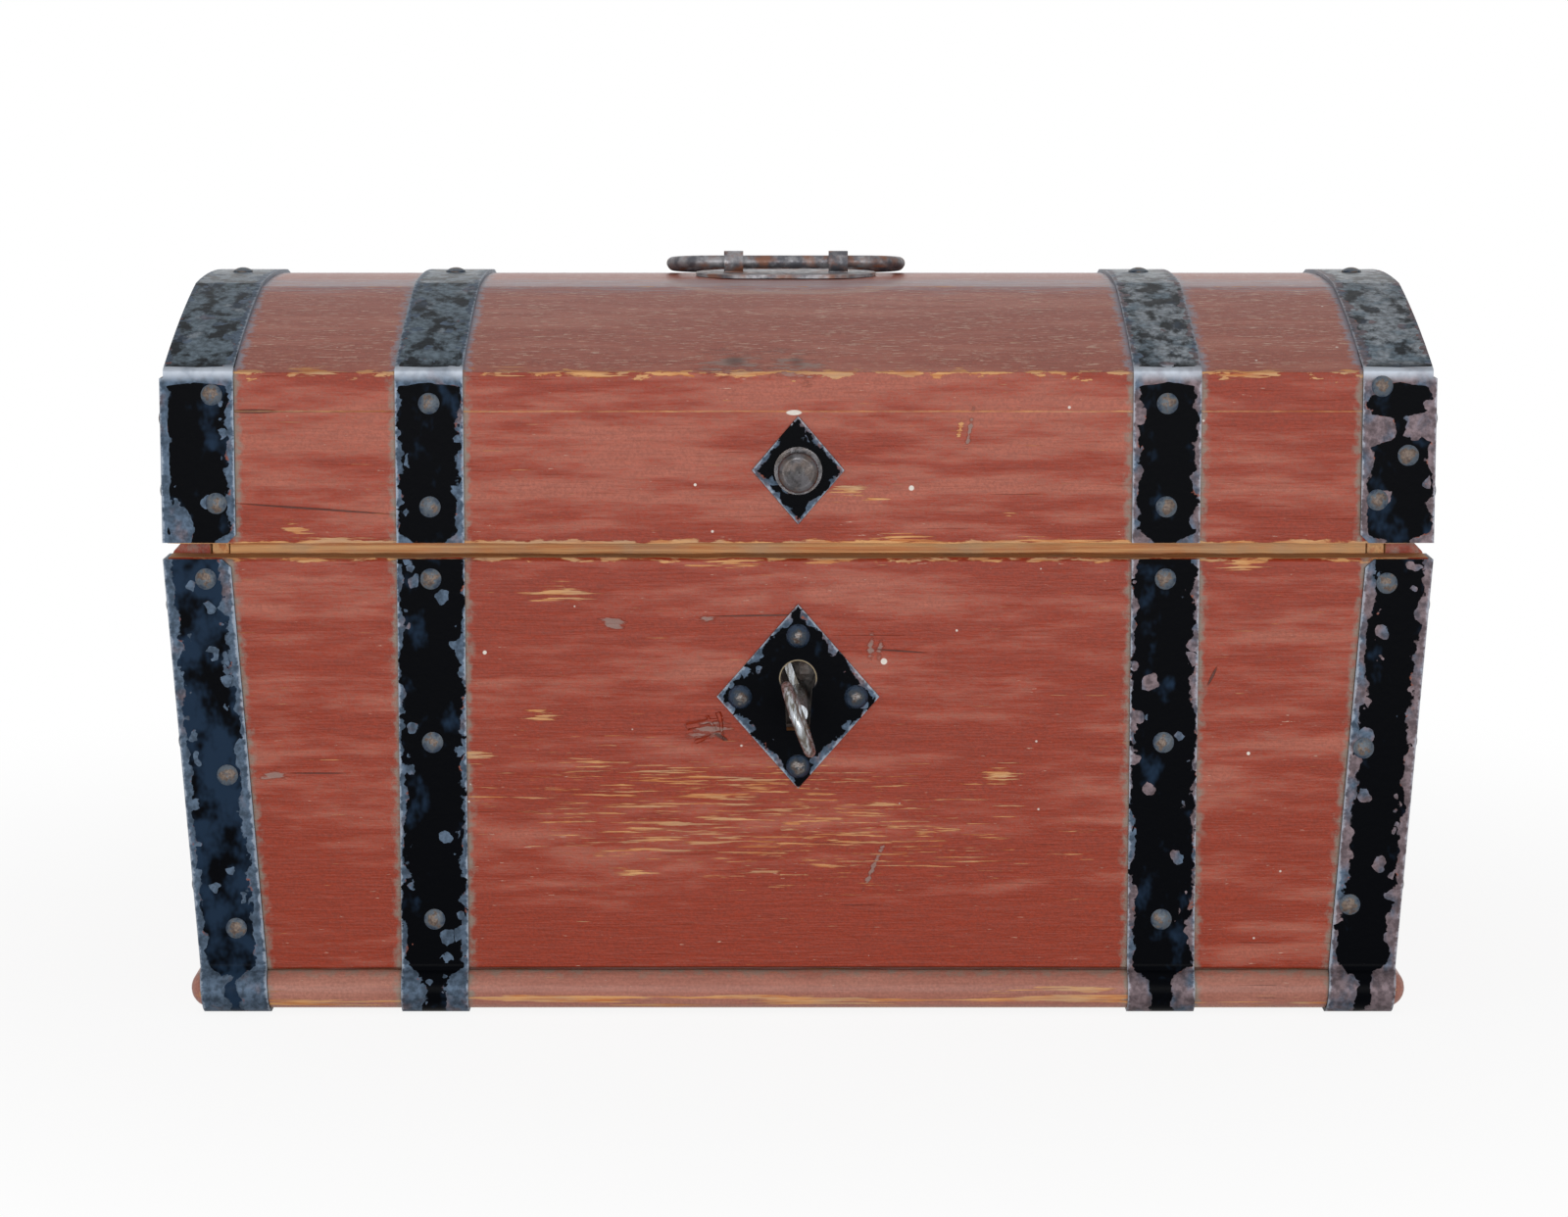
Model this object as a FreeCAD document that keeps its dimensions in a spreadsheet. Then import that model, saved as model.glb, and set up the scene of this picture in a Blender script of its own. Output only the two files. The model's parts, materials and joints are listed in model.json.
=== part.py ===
import FreeCAD, Part
import math
import os
import Sketcher

# Dome top box: a pine base with leaning ends, a lid of three staves over a low wall, iron straps
# with two of them rolled into hinges, a lock worked by a key, a knob and a bail handle.
# Millimetres, +Z up, the front faces -Y, the origin is on the floor under the middle of the box.

SIZES = [
    # wood of the base
    ("box_length", "417.6"),
    ("box_depth", "242"),
    ("base_height", "139.5"),
    ("end_lean", "10"),
    ("base_wall", "13"),
    ("bottom_thick", "13"),
    ("nosing_overhang", "5"),
    ("nosing_round", "6.4"),
    ("strap_shoulder", "0.5"),
    ("rim_chamfer", "1.2"),
    ("end_chamfer", "4"),
    # wood of the lid
    ("parting_gap", "4.5"),
    ("seat_gap", "0.3"),
    ("lid_wall", "12.2"),
    ("lid_wall_height", "44"),
    ("stave_edge", "13"),
    ("dome_rise", "22.8"),
    ("crown_width", "78"),
    ("crown_thick", "13"),
    ("stave_radius", "565"),
    ("crown_radius", "507"),
    # lip strips
    ("lip_thick", "6"),
    ("lip_stand", "8"),
    ("lip_drop", "14"),
    # iron straps
    ("strap_thick", "1.3"),
    ("strap_width", "22.4"),
    ("strap_place", "121.5"),
    ("strap_margin", "0.5"),
    ("strap_tuck", "11"),
    ("strap_bend", "4"),
    ("lid_corner_leg", "23"),
    ("base_corner_leg", "21"),
    ("corner_wing", "15"),
    ("wing_lift", "2"),
    ("corner_clip", "2.7"),
    # hinges
    ("pin_radius", "2"),
    ("pin_fit", "0.05"),
    ("pin_end", "0.8"),
    ("lid_knuckle", "8"),
    ("knuckle_gap", "0.3"),
    ("knuckle_room", "0.4"),
    # nails
    ("nail_head", "3.5"),
    ("nail_dome", "1.6"),
    ("nail_edge", "0.4"),
    ("nail_shank", "1.2"),
    ("nail_tip", "0.5"),
    ("nail_length", "11.5"),
    ("small_head", "2.4"),
    ("small_dome", "1.2"),
    ("small_shank", "0.9"),
    ("small_length", "9"),
    ("plate_nail_head", "4"),
    ("plate_nail_dome", "2.6"),
    # knob and its plate
    ("plate_thick", "1.2"),
    ("knob_plate_width", "30.7"),
    ("knob_plate_height", "36"),
    ("knob_rise", "24.6"),
    ("knob_radius", "6.7"),
    ("knob_reach", "9"),
    ("knob_crown", "1.2"),
    ("knob_neck", "5.2"),
    ("knob_collar", "7.9"),
    ("collar_thick", "1.6"),
    ("knob_shank", "2.5"),
    ("knob_rivet", "4"),
    ("rivet_thick", "1.4"),
    ("shank_play", "0.1"),
    # keyhole plate
    ("keyhole_plate_width", "54"),
    ("keyhole_plate_height", "62"),
    ("keyhole_plate_rise", "1.3"),
    ("keyhole_radius", "5.9"),
    ("keyhole_rise", "6.2"),
    ("slot_width", "9.4"),
    ("slot_foot", "7.6"),
    ("slot_drop", "11.5"),
    ("keyhole_play", "0.8"),
    # key
    ("key_tilt", "20"),
    ("bow_reach", "39"),
    ("bow_radius", "11.3"),
    ("bow_wire", "1.7"),
    ("key_shank", "3.1"),
    ("key_pin", "2.2"),
    ("bit_play", "0.7"),
    ("bit_thick", "2.6"),
    ("bit_gap", "1"),
    ("bit_length", "8.5"),
    # lock
    ("lock_plate_length", "84"),
    ("lock_plate_gap", "0.8"),
    ("lock_plate_margin", "2"),
    ("lock_sheet", "1.5"),
    ("lock_length", "68"),
    ("lock_reach", "26"),
    ("lock_depth", "12.5"),
    ("lock_nail_inset", "3.5"),
    ("guide_play", "0.2"),
    ("bolt_left", "26"),
    ("bolt_right", "22"),
    ("bolt_rise", "6"),
    ("bolt_height", "10"),
    ("bolt_thick", "6.5"),
    ("bolt_back_gap", "0.8"),
    ("bolt_arm", "7"),
    ("finger_room", "2"),
    ("finger_height", "7"),
    ("finger_gap", "4.5"),
    ("finger_end", "9.5"),
    ("talon_left", "8.2"),
    ("talon_right", "0.6"),
    ("talon_depth", "5.2"),
    ("spring_thick", "0.8"),
    ("spring_width", "4"),
    ("spring_gap", "0.5"),
    ("spring_rise", "10.5"),
    ("spring_foot", "14"),
    ("spring_end", "10.5"),
    ("curl_rise", "3.5"),
    # catch
    ("catch_width", "16"),
    ("catch_thick", "2"),
    ("catch_lip_gap", "3.2"),
    ("catch_foot_rise", "37.7"),
    ("catch_bend_rise", "17.7"),
    ("catch_bend_drop", "10"),
    ("catch_tip", "2.5"),
    ("notch_under", "0.5"),
    ("notch_over", "1"),
    ("notch_reach", "10"),
    ("slot_room", "1.5"),
    ("slot_front", "3.2"),
    ("slot_back", "1"),
    ("catch_nail_inset", "4"),
    # handle
    ("handle_shift", "4"),
    ("handle_plate_length", "64"),
    ("handle_plate_width", "36"),
    ("eye_spacing", "37.2"),
    ("eye_width", "6.8"),
    ("eye_thick", "1.3"),
    ("eye_play", "0.3"),
    ("eye_leg", "3.2"),
    ("eye_tail", "9"),
    ("eye_slot_play", "0.1"),
    ("wire_radius", "2.15"),
    ("bail_width", "85.6"),
    ("bail_reach", "48.8"),
    ("bail_near_round", "14"),
    ("bail_far_round", "20"),
    ("bail_tilt", "5.8"),
    # how far a cutting shape runs past what it cuts
    ("overrun", "3"),
]

# Shares of a leg's height at which its nails stand, and for corner legs the share of its width.
LID_NAIL_SHARES = (0.22, 0.82)
BASE_NAIL_SHARES = (0.127, 0.557, 0.95)
LID_CORNER_SHARES = {
    -1: ((0.24, 0.73), (0.87, 0.69)),
    1: ((0.26, 0.77), (0.52, 0.34), (0.92, 0.73)),
}
BASE_CORNER_SHARES = {
    -1: ((0.105, 0.57), (0.478, 0.65), (0.95, 0.59)),
    1: ((0.163, 0.76), (0.543, 0.77), (0.94, 0.64)),
}
LID_WING_SHARES = (0.3, 0.72)
BASE_WING_SHARES = (0.2, 0.55, 0.88)
# Places of the keyhole plate's nails, as shares of its half width and half height.
PLATE_NAIL_SHARES = ((-0.715, 0.0), (0.715, 0.0), (0.0, 0.66), (0.0, -0.755))

doc = FreeCAD.newDocument("dome_top_box")
sheet = doc.addObject("Spreadsheet::Sheet", "Sizes")
for row, (name, value) in enumerate(SIZES, start=1):
    sheet.set(f"A{row}", name)
    sheet.set(f"B{row}", value)
    sheet.setAlias(f"B{row}", name)
doc.recompute()


class Size:
    """A length with the sheet expression that gives it, so that sums keep their binding."""

    def __init__(self, number, text):
        self.number = number
        self.text = text

    def __add__(self, other):
        other = sized(other)
        return Size(self.number + other.number, f"({self.text} + {other.text})")

    def __sub__(self, other):
        other = sized(other)
        return Size(self.number - other.number, f"({self.text} - {other.text})")

    def __mul__(self, other):
        other = sized(other)
        return Size(self.number * other.number, f"({self.text} * {other.text})")

    def __truediv__(self, other):
        other = sized(other)
        return Size(self.number / other.number, f"({self.text} / {other.text})")

    def __radd__(self, other):
        return sized(other) + self

    def __rmul__(self, other):
        return sized(other) * self

    def __neg__(self):
        return Size(-self.number, f"(0 - {self.text})")


def sized(value):
    return value if isinstance(value, Size) else Size(float(value), f"({float(value)})")


def root(value):
    return Size(math.sqrt(value.number), f"sqrt({value.text})")


size = {name: Size(float(value), f"Sizes.{name}") for name, value in SIZES}
strap = size["strap_thick"]
overrun = size["overrun"]

# Levels, from the floor up.
bottom_low = strap
floor = bottom_low + size["bottom_thick"]
rim = floor + size["base_height"]
lid_low = rim + size["parting_gap"]
end_top = lid_low - size["seat_gap"]
wall_top = lid_low + size["lid_wall_height"]
crease = wall_top + size["stave_edge"]
crown_edge = crease + size["dome_rise"]
crown_under = crown_edge - size["crown_thick"]
knob_level = lid_low + size["knob_rise"]

# Levels of the lock, from the front lip down: what the key works hangs from the lock's top.
lip_low = rim - size["lip_drop"]
lip_high = rim + size["lip_stand"]
lock_plate_high = lip_low - size["lock_plate_gap"]
lock_high = lock_plate_high - size["lock_plate_margin"]
finger_high = lock_high - size["lock_sheet"] - size["finger_room"]
finger_low = finger_high - size["finger_height"]
bolt_high = finger_low - size["finger_gap"]
bolt_low = bolt_high - size["bolt_height"]
talon_top = bolt_low + size["talon_depth"]
key_level = bolt_low - size["bolt_rise"]
keyhole_level = key_level + size["keyhole_plate_rise"]
lock_low = key_level - size["lock_reach"]
lock_plate_low = lock_low - size["lock_plate_margin"]

# Half sizes in plan.
half_length = size["box_length"] / 2
half_depth = size["box_depth"] / 2
half_foot = half_length - size["end_lean"]
half_crown = size["crown_width"] / 2
inside_depth = half_depth - size["base_wall"]
lid_inside_depth = half_depth - size["lid_wall"]
lid_inside_length = half_length - size["lid_wall"]
crown_radius = size["crown_radius"]
crown_drop = crown_radius - root(crown_radius * crown_radius - half_crown * half_crown)
ridge = crown_edge + crown_drop

# Hinge axis: the knuckles touch the plane of the back face and stand in the gap under the lid.
bore = size["pin_radius"] + size["pin_fit"]
knuckle = bore + strap
axis_depth = half_depth + knuckle
axis_level = rim + size["parting_gap"] / 2
knuckle_reach = knuckle + size["knuckle_room"]


def half_at(level):
    """Half length of the base at a height: the ends lean in towards the bottom."""
    return half_foot + (level - floor) * size["end_lean"] / size["base_height"]


def stave_under(depth):
    """Height of a stave's flat underside at a distance from the middle of the lid."""
    return wall_top + (half_depth - depth) * (crown_under - wall_top) / (half_depth - half_crown)


def bind(thing, place, value):
    thing.setExpression(place, sized(value).text)


def span(side, near, far):
    """The two ends of a stretch on one side of the middle, in rising order."""
    return (near, far) if side > 0 else (-far, -near)


def draw(sketch, corners, closed=True):
    """Lines and arcs through the corners, each fixed to the sheet. A corner is (across, up), or
    (across, up, radius) where an arc leads on to the next corner; a positive radius turns left."""
    count = len(corners)
    pieces = count if closed else count - 1
    heads = []
    tails = []
    constraints = []
    texts = []
    for index in range(pieces):
        start = corners[index]
        end = corners[(index + 1) % count]
        ax, ay = sized(start[0]).number, sized(start[1]).number
        bx, by = sized(end[0]).number, sized(end[1]).number
        first = FreeCAD.Vector(ax, ay, 0)
        last = FreeCAD.Vector(bx, by, 0)
        if len(start) < 3:
            made = sketch.addGeometry(Part.LineSegment(first, last), False)
            heads.append((made, 1))
            tails.append((made, 2))
            continue
        radius = sized(start[2]).number
        chord = math.hypot(bx - ax, by - ay)
        rise = math.sqrt(max(radius * radius - chord * chord / 4, 0)) * math.copysign(1, radius)
        slope = rise / chord
        centre = FreeCAD.Vector((ax + bx) / 2 - (by - ay) * slope, (ay + by) / 2 + (bx - ax) * slope, 0)
        circle = Part.Circle(centre, FreeCAD.Vector(0, 0, 1), abs(radius))
        turns = [math.atan2(ay - centre.y, ax - centre.x), math.atan2(by - centre.y, bx - centre.x)]
        left = radius > 0
        made = sketch.addGeometry(Part.ArcOfCircle(circle, *(turns if left else turns[::-1])), False)
        heads.append((made, 1 if left else 2))
        tails.append((made, 2 if left else 1))
        constraints.append(Sketcher.Constraint("Radius", made, abs(radius)))
        texts.append(sized(start[2]).text if left else (-sized(start[2])).text)
    for index in range(pieces if closed else pieces - 1):
        constraints.append(Sketcher.Constraint("Coincident", *tails[index], *heads[(index + 1) % pieces]))
        texts.append(None)
    for index in range(count):
        point = heads[index] if index < pieces else tails[-1]
        for kind, value in zip(("DistanceX", "DistanceY"), corners[index][:2]):
            constraints.append(Sketcher.Constraint(kind, -1, 1, *point, sized(value).number))
            texts.append(sized(value).text if isinstance(value, Size) else None)
    for index, text in zip(sketch.addConstraint(constraints), texts):
        if text:
            sketch.setExpression(f"Constraints[{index}]", text)


def draw_circle(sketch, across, up, radius):
    centre = FreeCAD.Vector(sized(across).number, sized(up).number, 0)
    made = sketch.addGeometry(Part.Circle(centre, FreeCAD.Vector(0, 0, 1), radius.number), False)
    for kind, place, value in (("DistanceX", 3, across), ("DistanceY", 3, up)):
        index = sketch.addConstraint(Sketcher.Constraint(kind, -1, 1, made, place, sized(value).number))
        if isinstance(value, Size):
            sketch.setExpression(f"Constraints[{index}]", value.text)
    index = sketch.addConstraint(Sketcher.Constraint("Radius", made, radius.number))
    sketch.setExpression(f"Constraints[{index}]", radius.text)


def new_body(label):
    made = doc.addObject("PartDesign::Body", label)
    made.Label = label
    return made


def plane_sketch(body, plane, level):
    sketch = body.newObject("Sketcher::SketchObject", f"{body.Label}_outline")
    support = next(item for item in body.Origin.OriginFeatures if item.Role == f"{plane}_Plane")
    sketch.AttachmentSupport = [(support, "")]
    sketch.MapMode = "FlatFace"
    bind(sketch, "AttachmentOffset.Base.z", -sized(level) if plane == "XZ" else level)
    return sketch


def feature(body, kind, plane, low, high, corners=None, circle=None):
    """A Pad or a Pocket between two levels square to the plane."""
    adding = kind == "Pad"
    at_low = adding != (plane == "XZ")
    sketch = plane_sketch(body, plane, low if at_low else high)
    if circle:
        draw_circle(sketch, *circle)
    else:
        draw(sketch, corners)
    made = body.newObject(f"PartDesign::{kind}", f"{body.Label}_{kind.lower()}")
    made.Profile = sketch
    bind(made, "Length", sized(high) - low)
    sketch.Visibility = False
    return made


def solid(label, plane, corners, low, high):
    body = new_body(label)
    feature(body, "Pad", plane, low, high, corners)
    return body


def turned(label, level, corners):
    """A body turned about a line along Y at a height; corners are (depth, radius)."""
    body = new_body(label)
    sketch = plane_sketch(body, "YZ", 0)
    bind(sketch, "AttachmentOffset.Base.y", level)
    draw(sketch, corners)
    made = body.newObject("PartDesign::Revolution", f"{label}_turn")
    made.Profile = sketch
    made.ReferenceAxis = (sketch, ["H_Axis"])
    return body


def rectangle(left, right, low, high):
    return [(left, low), (right, low), (right, high), (left, high)]


def block(label, x, y, z):
    """A plain block between pairs of limits."""
    made = doc.addObject("Part::Box", label)
    for length, place, (low, high) in zip(("Length", "Width", "Height"), "xyz", (x, y, z)):
        bind(made, length, sized(high) - low)
        bind(made, f"Placement.Base.{place}", low)
    return made


def rod(label, x, depth, level, radius):
    """A round bar along X."""
    made = doc.addObject("Part::Cylinder", label)
    made.Placement = FreeCAD.Placement(FreeCAD.Vector(), FreeCAD.Rotation(FreeCAD.Vector(0, 1, 0), 90))
    bind(made, "Radius", radius)
    bind(made, "Height", sized(x[1]) - x[0])
    for place, value in zip("xyz", (x[0], depth, level)):
        bind(made, f"Placement.Base.{place}", value)
    return made


def prism(label, plane, corners, low, high):
    """A sketch in the XZ or YZ plane pushed along Y or X between two limits."""
    sketch = doc.addObject("Sketcher::SketchObject", f"{label}_outline")
    across = FreeCAD.Vector(1, 0, 0) if plane == "XZ" else FreeCAD.Vector(0, 1, 0)
    along = FreeCAD.Vector(0, 1, 0) if plane == "XZ" else FreeCAD.Vector(1, 0, 0)
    up = FreeCAD.Vector(0, 0, 1)
    turn = FreeCAD.Rotation(across, up, across.cross(up), "XYZ")
    sketch.Placement = FreeCAD.Placement(FreeCAD.Vector(), turn)
    draw(sketch, corners)
    made = doc.addObject("Part::Extrusion", label)
    made.Base = sketch
    return push(made, along, low, high)


def push(made, along, low, high):
    made.DirMode = "Custom"
    made.Dir = along
    made.Solid = True
    bind(made, "LengthFwd", high)
    bind(made, "LengthRev", -sized(low))
    return made


def band(label, path, x):
    """Strap iron of one thickness laid along an open path in the YZ plane, its outside on the
    right of the path's direction, and as wide as the stretch of X."""
    sketch = doc.addObject("Sketcher::SketchObject", f"{label}_path")
    turn = FreeCAD.Rotation(FreeCAD.Vector(0, 1, 0), FreeCAD.Vector(0, 0, 1), FreeCAD.Vector(1, 0, 0), "XYZ")
    sketch.Placement = FreeCAD.Placement(FreeCAD.Vector(), turn)
    draw(sketch, path, closed=False)
    sheet_iron = doc.addObject("Part::Offset2D", f"{label}_section")
    sheet_iron.Source = sketch
    sheet_iron.Mode = "Skin"
    sheet_iron.Fill = True
    bind(sheet_iron, "Value", strap)
    made = doc.addObject("Part::Extrusion", label)
    made.Base = sheet_iron
    return push(made, FreeCAD.Vector(1, 0, 0), *x)


def combine(kind, label, shapes):
    made = doc.addObject(f"Part::{kind}", label)
    if kind == "Cut":
        made.Base, made.Tool = shapes
    else:
        made.Shapes = shapes
    made.Refine = True
    return made


def mirrored(path):
    """The same path at the back of the box."""
    return [(-corner[0], corner[1], *(-radius for radius in corner[2:])) for corner in path]


nodes = []


def node(label, made):
    made.Label = label
    nodes.append(made)
    return made


# Base boards. The long boards run the whole length, the ends stand between them.
def keyhole(play):
    """Outline of the keyhole: a round over a narrowing slot."""
    centre = keyhole_level + size["keyhole_rise"]
    radius = size["keyhole_radius"] + play
    half = size["slot_width"] / 2 + play
    foot = size["slot_foot"] / 2 + play
    low = keyhole_level - size["slot_drop"] - play
    neck = centre - root(radius * radius - half * half)
    return [(-foot, low), (foot, low), (half, neck, radius), (0, centre + radius, radius), (-half, neck)]


for label, side in (("front_board", -1), ("back_board", 1)):
    face = [(-half_foot, floor), (half_foot, floor), (half_length, rim), (-half_length, rim)]
    board = node(label, solid(label, "XZ", face, *span(side, inside_depth, half_depth)))
    worn = [
        (side * half_depth, rim - size["rim_chamfer"]),
        (side * (half_depth - size["rim_chamfer"]), rim),
        (side * half_depth, rim),
    ]
    feature(board, "Pocket", "YZ", -half_length, half_length, worn)
    if side < 0:
        feature(board, "Pocket", "XZ", -half_depth, -inside_depth, keyhole(size["keyhole_play"]))

for label, side in (("left_end_board", -1), ("right_end_board", 1)):
    shoulder = end_top - size["end_chamfer"]
    section = [
        (side * half_foot, floor),
        (side * half_at(shoulder), shoulder),
        (side * (half_at(end_top) - size["end_chamfer"]), end_top),
        (side * (half_at(end_top) - size["base_wall"]), end_top),
        (side * (half_foot - size["base_wall"]), floor),
    ]
    node(label, solid(label, "XZ", section, -inside_depth, inside_depth))

nose = size["nosing_round"]
half_nose_length = half_foot + size["nosing_overhang"]
half_nose_depth = half_depth + size["nosing_overhang"]
plan = rectangle(-half_nose_length, half_nose_length, -half_nose_depth, half_nose_depth)
bottom = node("bottom_board", solid("bottom_board", "XY", plan, bottom_low, floor))
doc.recompute()


def rounding(body, label, wanted, radius):
    """A fillet on the edges of the body's last feature that the test wants."""
    base = body.Tip
    edges = [f"Edge{number}" for number, edge in enumerate(base.Shape.Edges, start=1) if wanted(edge)]
    made = body.newObject("PartDesign::Fillet", label)
    made.Base = (base, edges)
    bind(made, "Radius", radius)
    doc.recompute()


corner_share = 1.25
rounding(bottom, "nosing_corners", lambda edge: edge.BoundBox.ZLength > nose.number, nose * corner_share)
rounding(bottom, "nosing_edges", lambda edge: edge.BoundBox.ZLength < nose.number, nose)
field_length = half_nose_length - nose
field_depth = half_depth - size["strap_tuck"] - size["strap_shoulder"]
field = rectangle(-field_length, field_length, -field_depth, field_depth)
feature(bottom, "Pad", "XY", 0, bottom_low, field)

# Lip strips of raw pine inside the rim. They stand up into the lid.
lip_end = half_at(rim) - size["base_wall"]
lip_section = rectangle(-inside_depth, -inside_depth + size["lip_thick"], lip_low, lip_high)
front_reach = lip_end - size["lip_thick"]
node("front_lip", solid("front_lip", "YZ", lip_section, -front_reach, front_reach))
for label, side in (("left_lip", -1), ("right_lip", 1)):
    section = [
        (side * (half_at(lip_low) - size["base_wall"]), lip_low),
        (side * lip_end, rim),
        (side * lip_end, lip_high),
        (side * front_reach, lip_high),
        (side * front_reach, lip_low),
    ]
    node(label, solid(label, "XZ", section, -inside_depth, inside_depth))

# Lid boards.
for label, side in (("lid_front_board", -1), ("lid_back_board", 1)):
    section = [
        (side * half_depth, lid_low),
        (side * lid_inside_depth, lid_low),
        (side * lid_inside_depth, stave_under(lid_inside_depth)),
        (side * half_depth, wall_top),
    ]
    board = node(label, solid(label, "YZ", section, -half_length, half_length))
    if side < 0:
        hole = (0, knob_level, size["knob_shank"] + size["shank_play"])
        feature(board, "Pocket", "XZ", -half_depth, -lid_inside_depth, circle=hole)

for label, side in (("lid_left_end", -1), ("lid_right_end", 1)):
    arch = [
        (-lid_inside_depth, lid_low),
        (lid_inside_depth, lid_low),
        (lid_inside_depth, stave_under(lid_inside_depth)),
        (half_crown, crown_under),
        (-half_crown, crown_under),
        (-lid_inside_depth, stave_under(lid_inside_depth)),
    ]
    node(label, solid(label, "YZ", arch, *span(side, lid_inside_length, half_length)))

# Staves. The outer two are rounded on top and bedded on the bevelled wall tops.
for label, side in (("front_stave", -1), ("back_stave", 1)):
    section = [
        (side * half_depth, crease, side * size["stave_radius"]),
        (side * half_crown, crown_edge),
        (side * half_crown, crown_under),
        (side * half_depth, wall_top),
    ]
    node(label, solid(label, "YZ", section, -half_length, half_length))
section = [
    (half_crown, crown_edge, size["crown_radius"]),
    (-half_crown, crown_edge),
    (-half_crown, crown_under),
    (half_crown, crown_under),
]
crown = node("crown_stave", solid("crown_stave", "YZ", section, -half_length, half_length))

# Handle: a plate on the ridge, two eyes clenched under the crown, and a bail that swings in them.
handle_middle = -size["handle_shift"]
plate_top = ridge + size["plate_thick"]
eye_bore = size["wire_radius"] + size["eye_play"]
eye_outside = eye_bore + size["eye_thick"]
pivot_level = plate_top + eye_outside
eye_middles = {
    "handle_eye_left": handle_middle - size["eye_spacing"] / 2,
    "handle_eye_right": handle_middle + size["eye_spacing"] / 2,
}
half_eye = size["eye_width"] / 2
half_leg = size["eye_leg"] / 2

flat = (size["handle_plate_length"] - size["handle_plate_width"]) / 2
cap = size["handle_plate_width"] / 2
oval = [
    (handle_middle - flat, -cap),
    (handle_middle + flat, -cap, cap),
    (handle_middle + flat + cap, 0, cap),
    (handle_middle + flat, cap),
    (handle_middle - flat, cap, cap),
    (handle_middle - flat - cap, 0, cap),
]
handle_plate = node("handle_plate", solid("handle_plate", "XY", oval, ridge, plate_top))
for label, middle in eye_middles.items():
    play = size["eye_slot_play"]
    slot = rectangle(middle - half_eye - play, middle + half_eye + play, -half_leg - play, half_leg + play)
    feature(handle_plate, "Pocket", "XY", ridge, plate_top, slot)
    feature(crown, "Pocket", "XY", crown_under, ridge, slot)
    across = (middle - half_eye, middle + half_eye)
    ring = rod(f"{label}_ring", across, 0, pivot_level, eye_outside)
    leg_levels = (crown_under - size["eye_thick"], pivot_level)
    legs = block(f"{label}_legs", across, (-half_leg, half_leg), leg_levels)
    tail = (-half_leg - size["eye_tail"], half_leg + size["eye_tail"])
    tails = block(f"{label}_tails", across, tail, (crown_under - size["eye_thick"], crown_under))
    whole = combine("MultiFuse", f"{label}_whole", [ring, legs, tails])
    hollow = rod(f"{label}_bore", (across[0] - overrun, across[1] + overrun), 0, pivot_level, eye_bore)
    node(label, combine("Cut", label, [whole, hollow]))

bail = new_body("handle_bail")
wire = size["wire_radius"]
half_bail = size["bail_width"] / 2 - wire
reach = size["bail_reach"] - wire
near = size["bail_near_round"]
far = size["bail_far_round"]
loop = plane_sketch(bail, "XY", 0)
loop_path = [
    (-half_bail + near, 0),
    (half_bail - near, 0, near),
    (half_bail, near),
    (half_bail, reach - far, far),
    (half_bail - far, reach),
    (-half_bail + far, reach, far),
    (-half_bail, reach - far),
    (-half_bail, near, near),
]
draw(loop, loop_path)
wire_section = plane_sketch(bail, "YZ", 0)
draw_circle(wire_section, 0, 0, wire)
pipe = bail.newObject("PartDesign::AdditivePipe", "bail_wire")
pipe.Profile = wire_section
pipe.Spine = (loop, [])
bail.Placement = FreeCAD.Placement(FreeCAD.Vector(), FreeCAD.Rotation(FreeCAD.Vector(-1, 0, 0), 1))
bind(bail, "Placement.Base.x", handle_middle)
bind(bail, "Placement.Base.z", pivot_level)
bind(bail, "Placement.Rotation.Angle", size["bail_tilt"])
node("handle_bail", bail)


# Nails: one turned master for each kind, set in groups.
def nail_shape(head, dome, shank, length):
    """A domed nail standing on z = 0 with its shank below."""
    edge = size["nail_edge"].number
    tip = size["nail_tip"].number
    outline = [
        FreeCAD.Vector(0, 0, -length.number),
        FreeCAD.Vector(tip, 0, -length.number),
        FreeCAD.Vector(shank.number, 0, -length.number / 2),
        FreeCAD.Vector(shank.number, 0, 0),
        FreeCAD.Vector(head.number, 0, 0),
        FreeCAD.Vector(head.number, 0, edge),
    ]
    rise = dome.number - edge
    ball = (head.number**2 + rise**2) / (2 * rise)
    turn = math.asin(head.number / ball) / 2
    top = FreeCAD.Vector(0, 0, dome.number)
    shoulder = FreeCAD.Vector(ball * math.sin(turn), 0, dome.number - ball * (1 - math.cos(turn)))
    cap_edge = Part.Arc(outline[-1], shoulder, top).toShape()
    sides = [Part.LineSegment(a, b).toShape() for a, b in zip(outline, outline[1:])]
    axis = Part.LineSegment(top, outline[0]).toShape()
    profile = Part.Face(Part.Wire(sides + [cap_edge, axis]))
    return profile.revolve(FreeCAD.Vector(), FreeCAD.Vector(0, 0, 1), 360)


def nail_group(label, master, places):
    """One node of separate nails; a place is (x, y, z, direction the head faces)."""
    shapes = []
    for x, y, z, facing in places:
        spot = FreeCAD.Vector(sized(x).number, sized(y).number, sized(z).number)
        turn = FreeCAD.Rotation(FreeCAD.Vector(0, 0, 1), FreeCAD.Vector(*facing))
        copy = master.copy()
        copy.Placement = FreeCAD.Placement(spot, turn)
        shapes.append(copy)
    made = doc.addObject("Part::Feature", label)
    made.Shape = Part.makeCompound(shapes)
    made.Label = label
    return made


strap_nail = nail_shape(size["nail_head"], size["nail_dome"], size["nail_shank"], size["nail_length"])
plate_nail = nail_shape(
    size["plate_nail_head"], size["plate_nail_dome"], size["nail_shank"], size["nail_length"]
)
small_nail = nail_shape(size["small_head"], size["small_dome"], size["small_shank"], size["small_length"])

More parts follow.
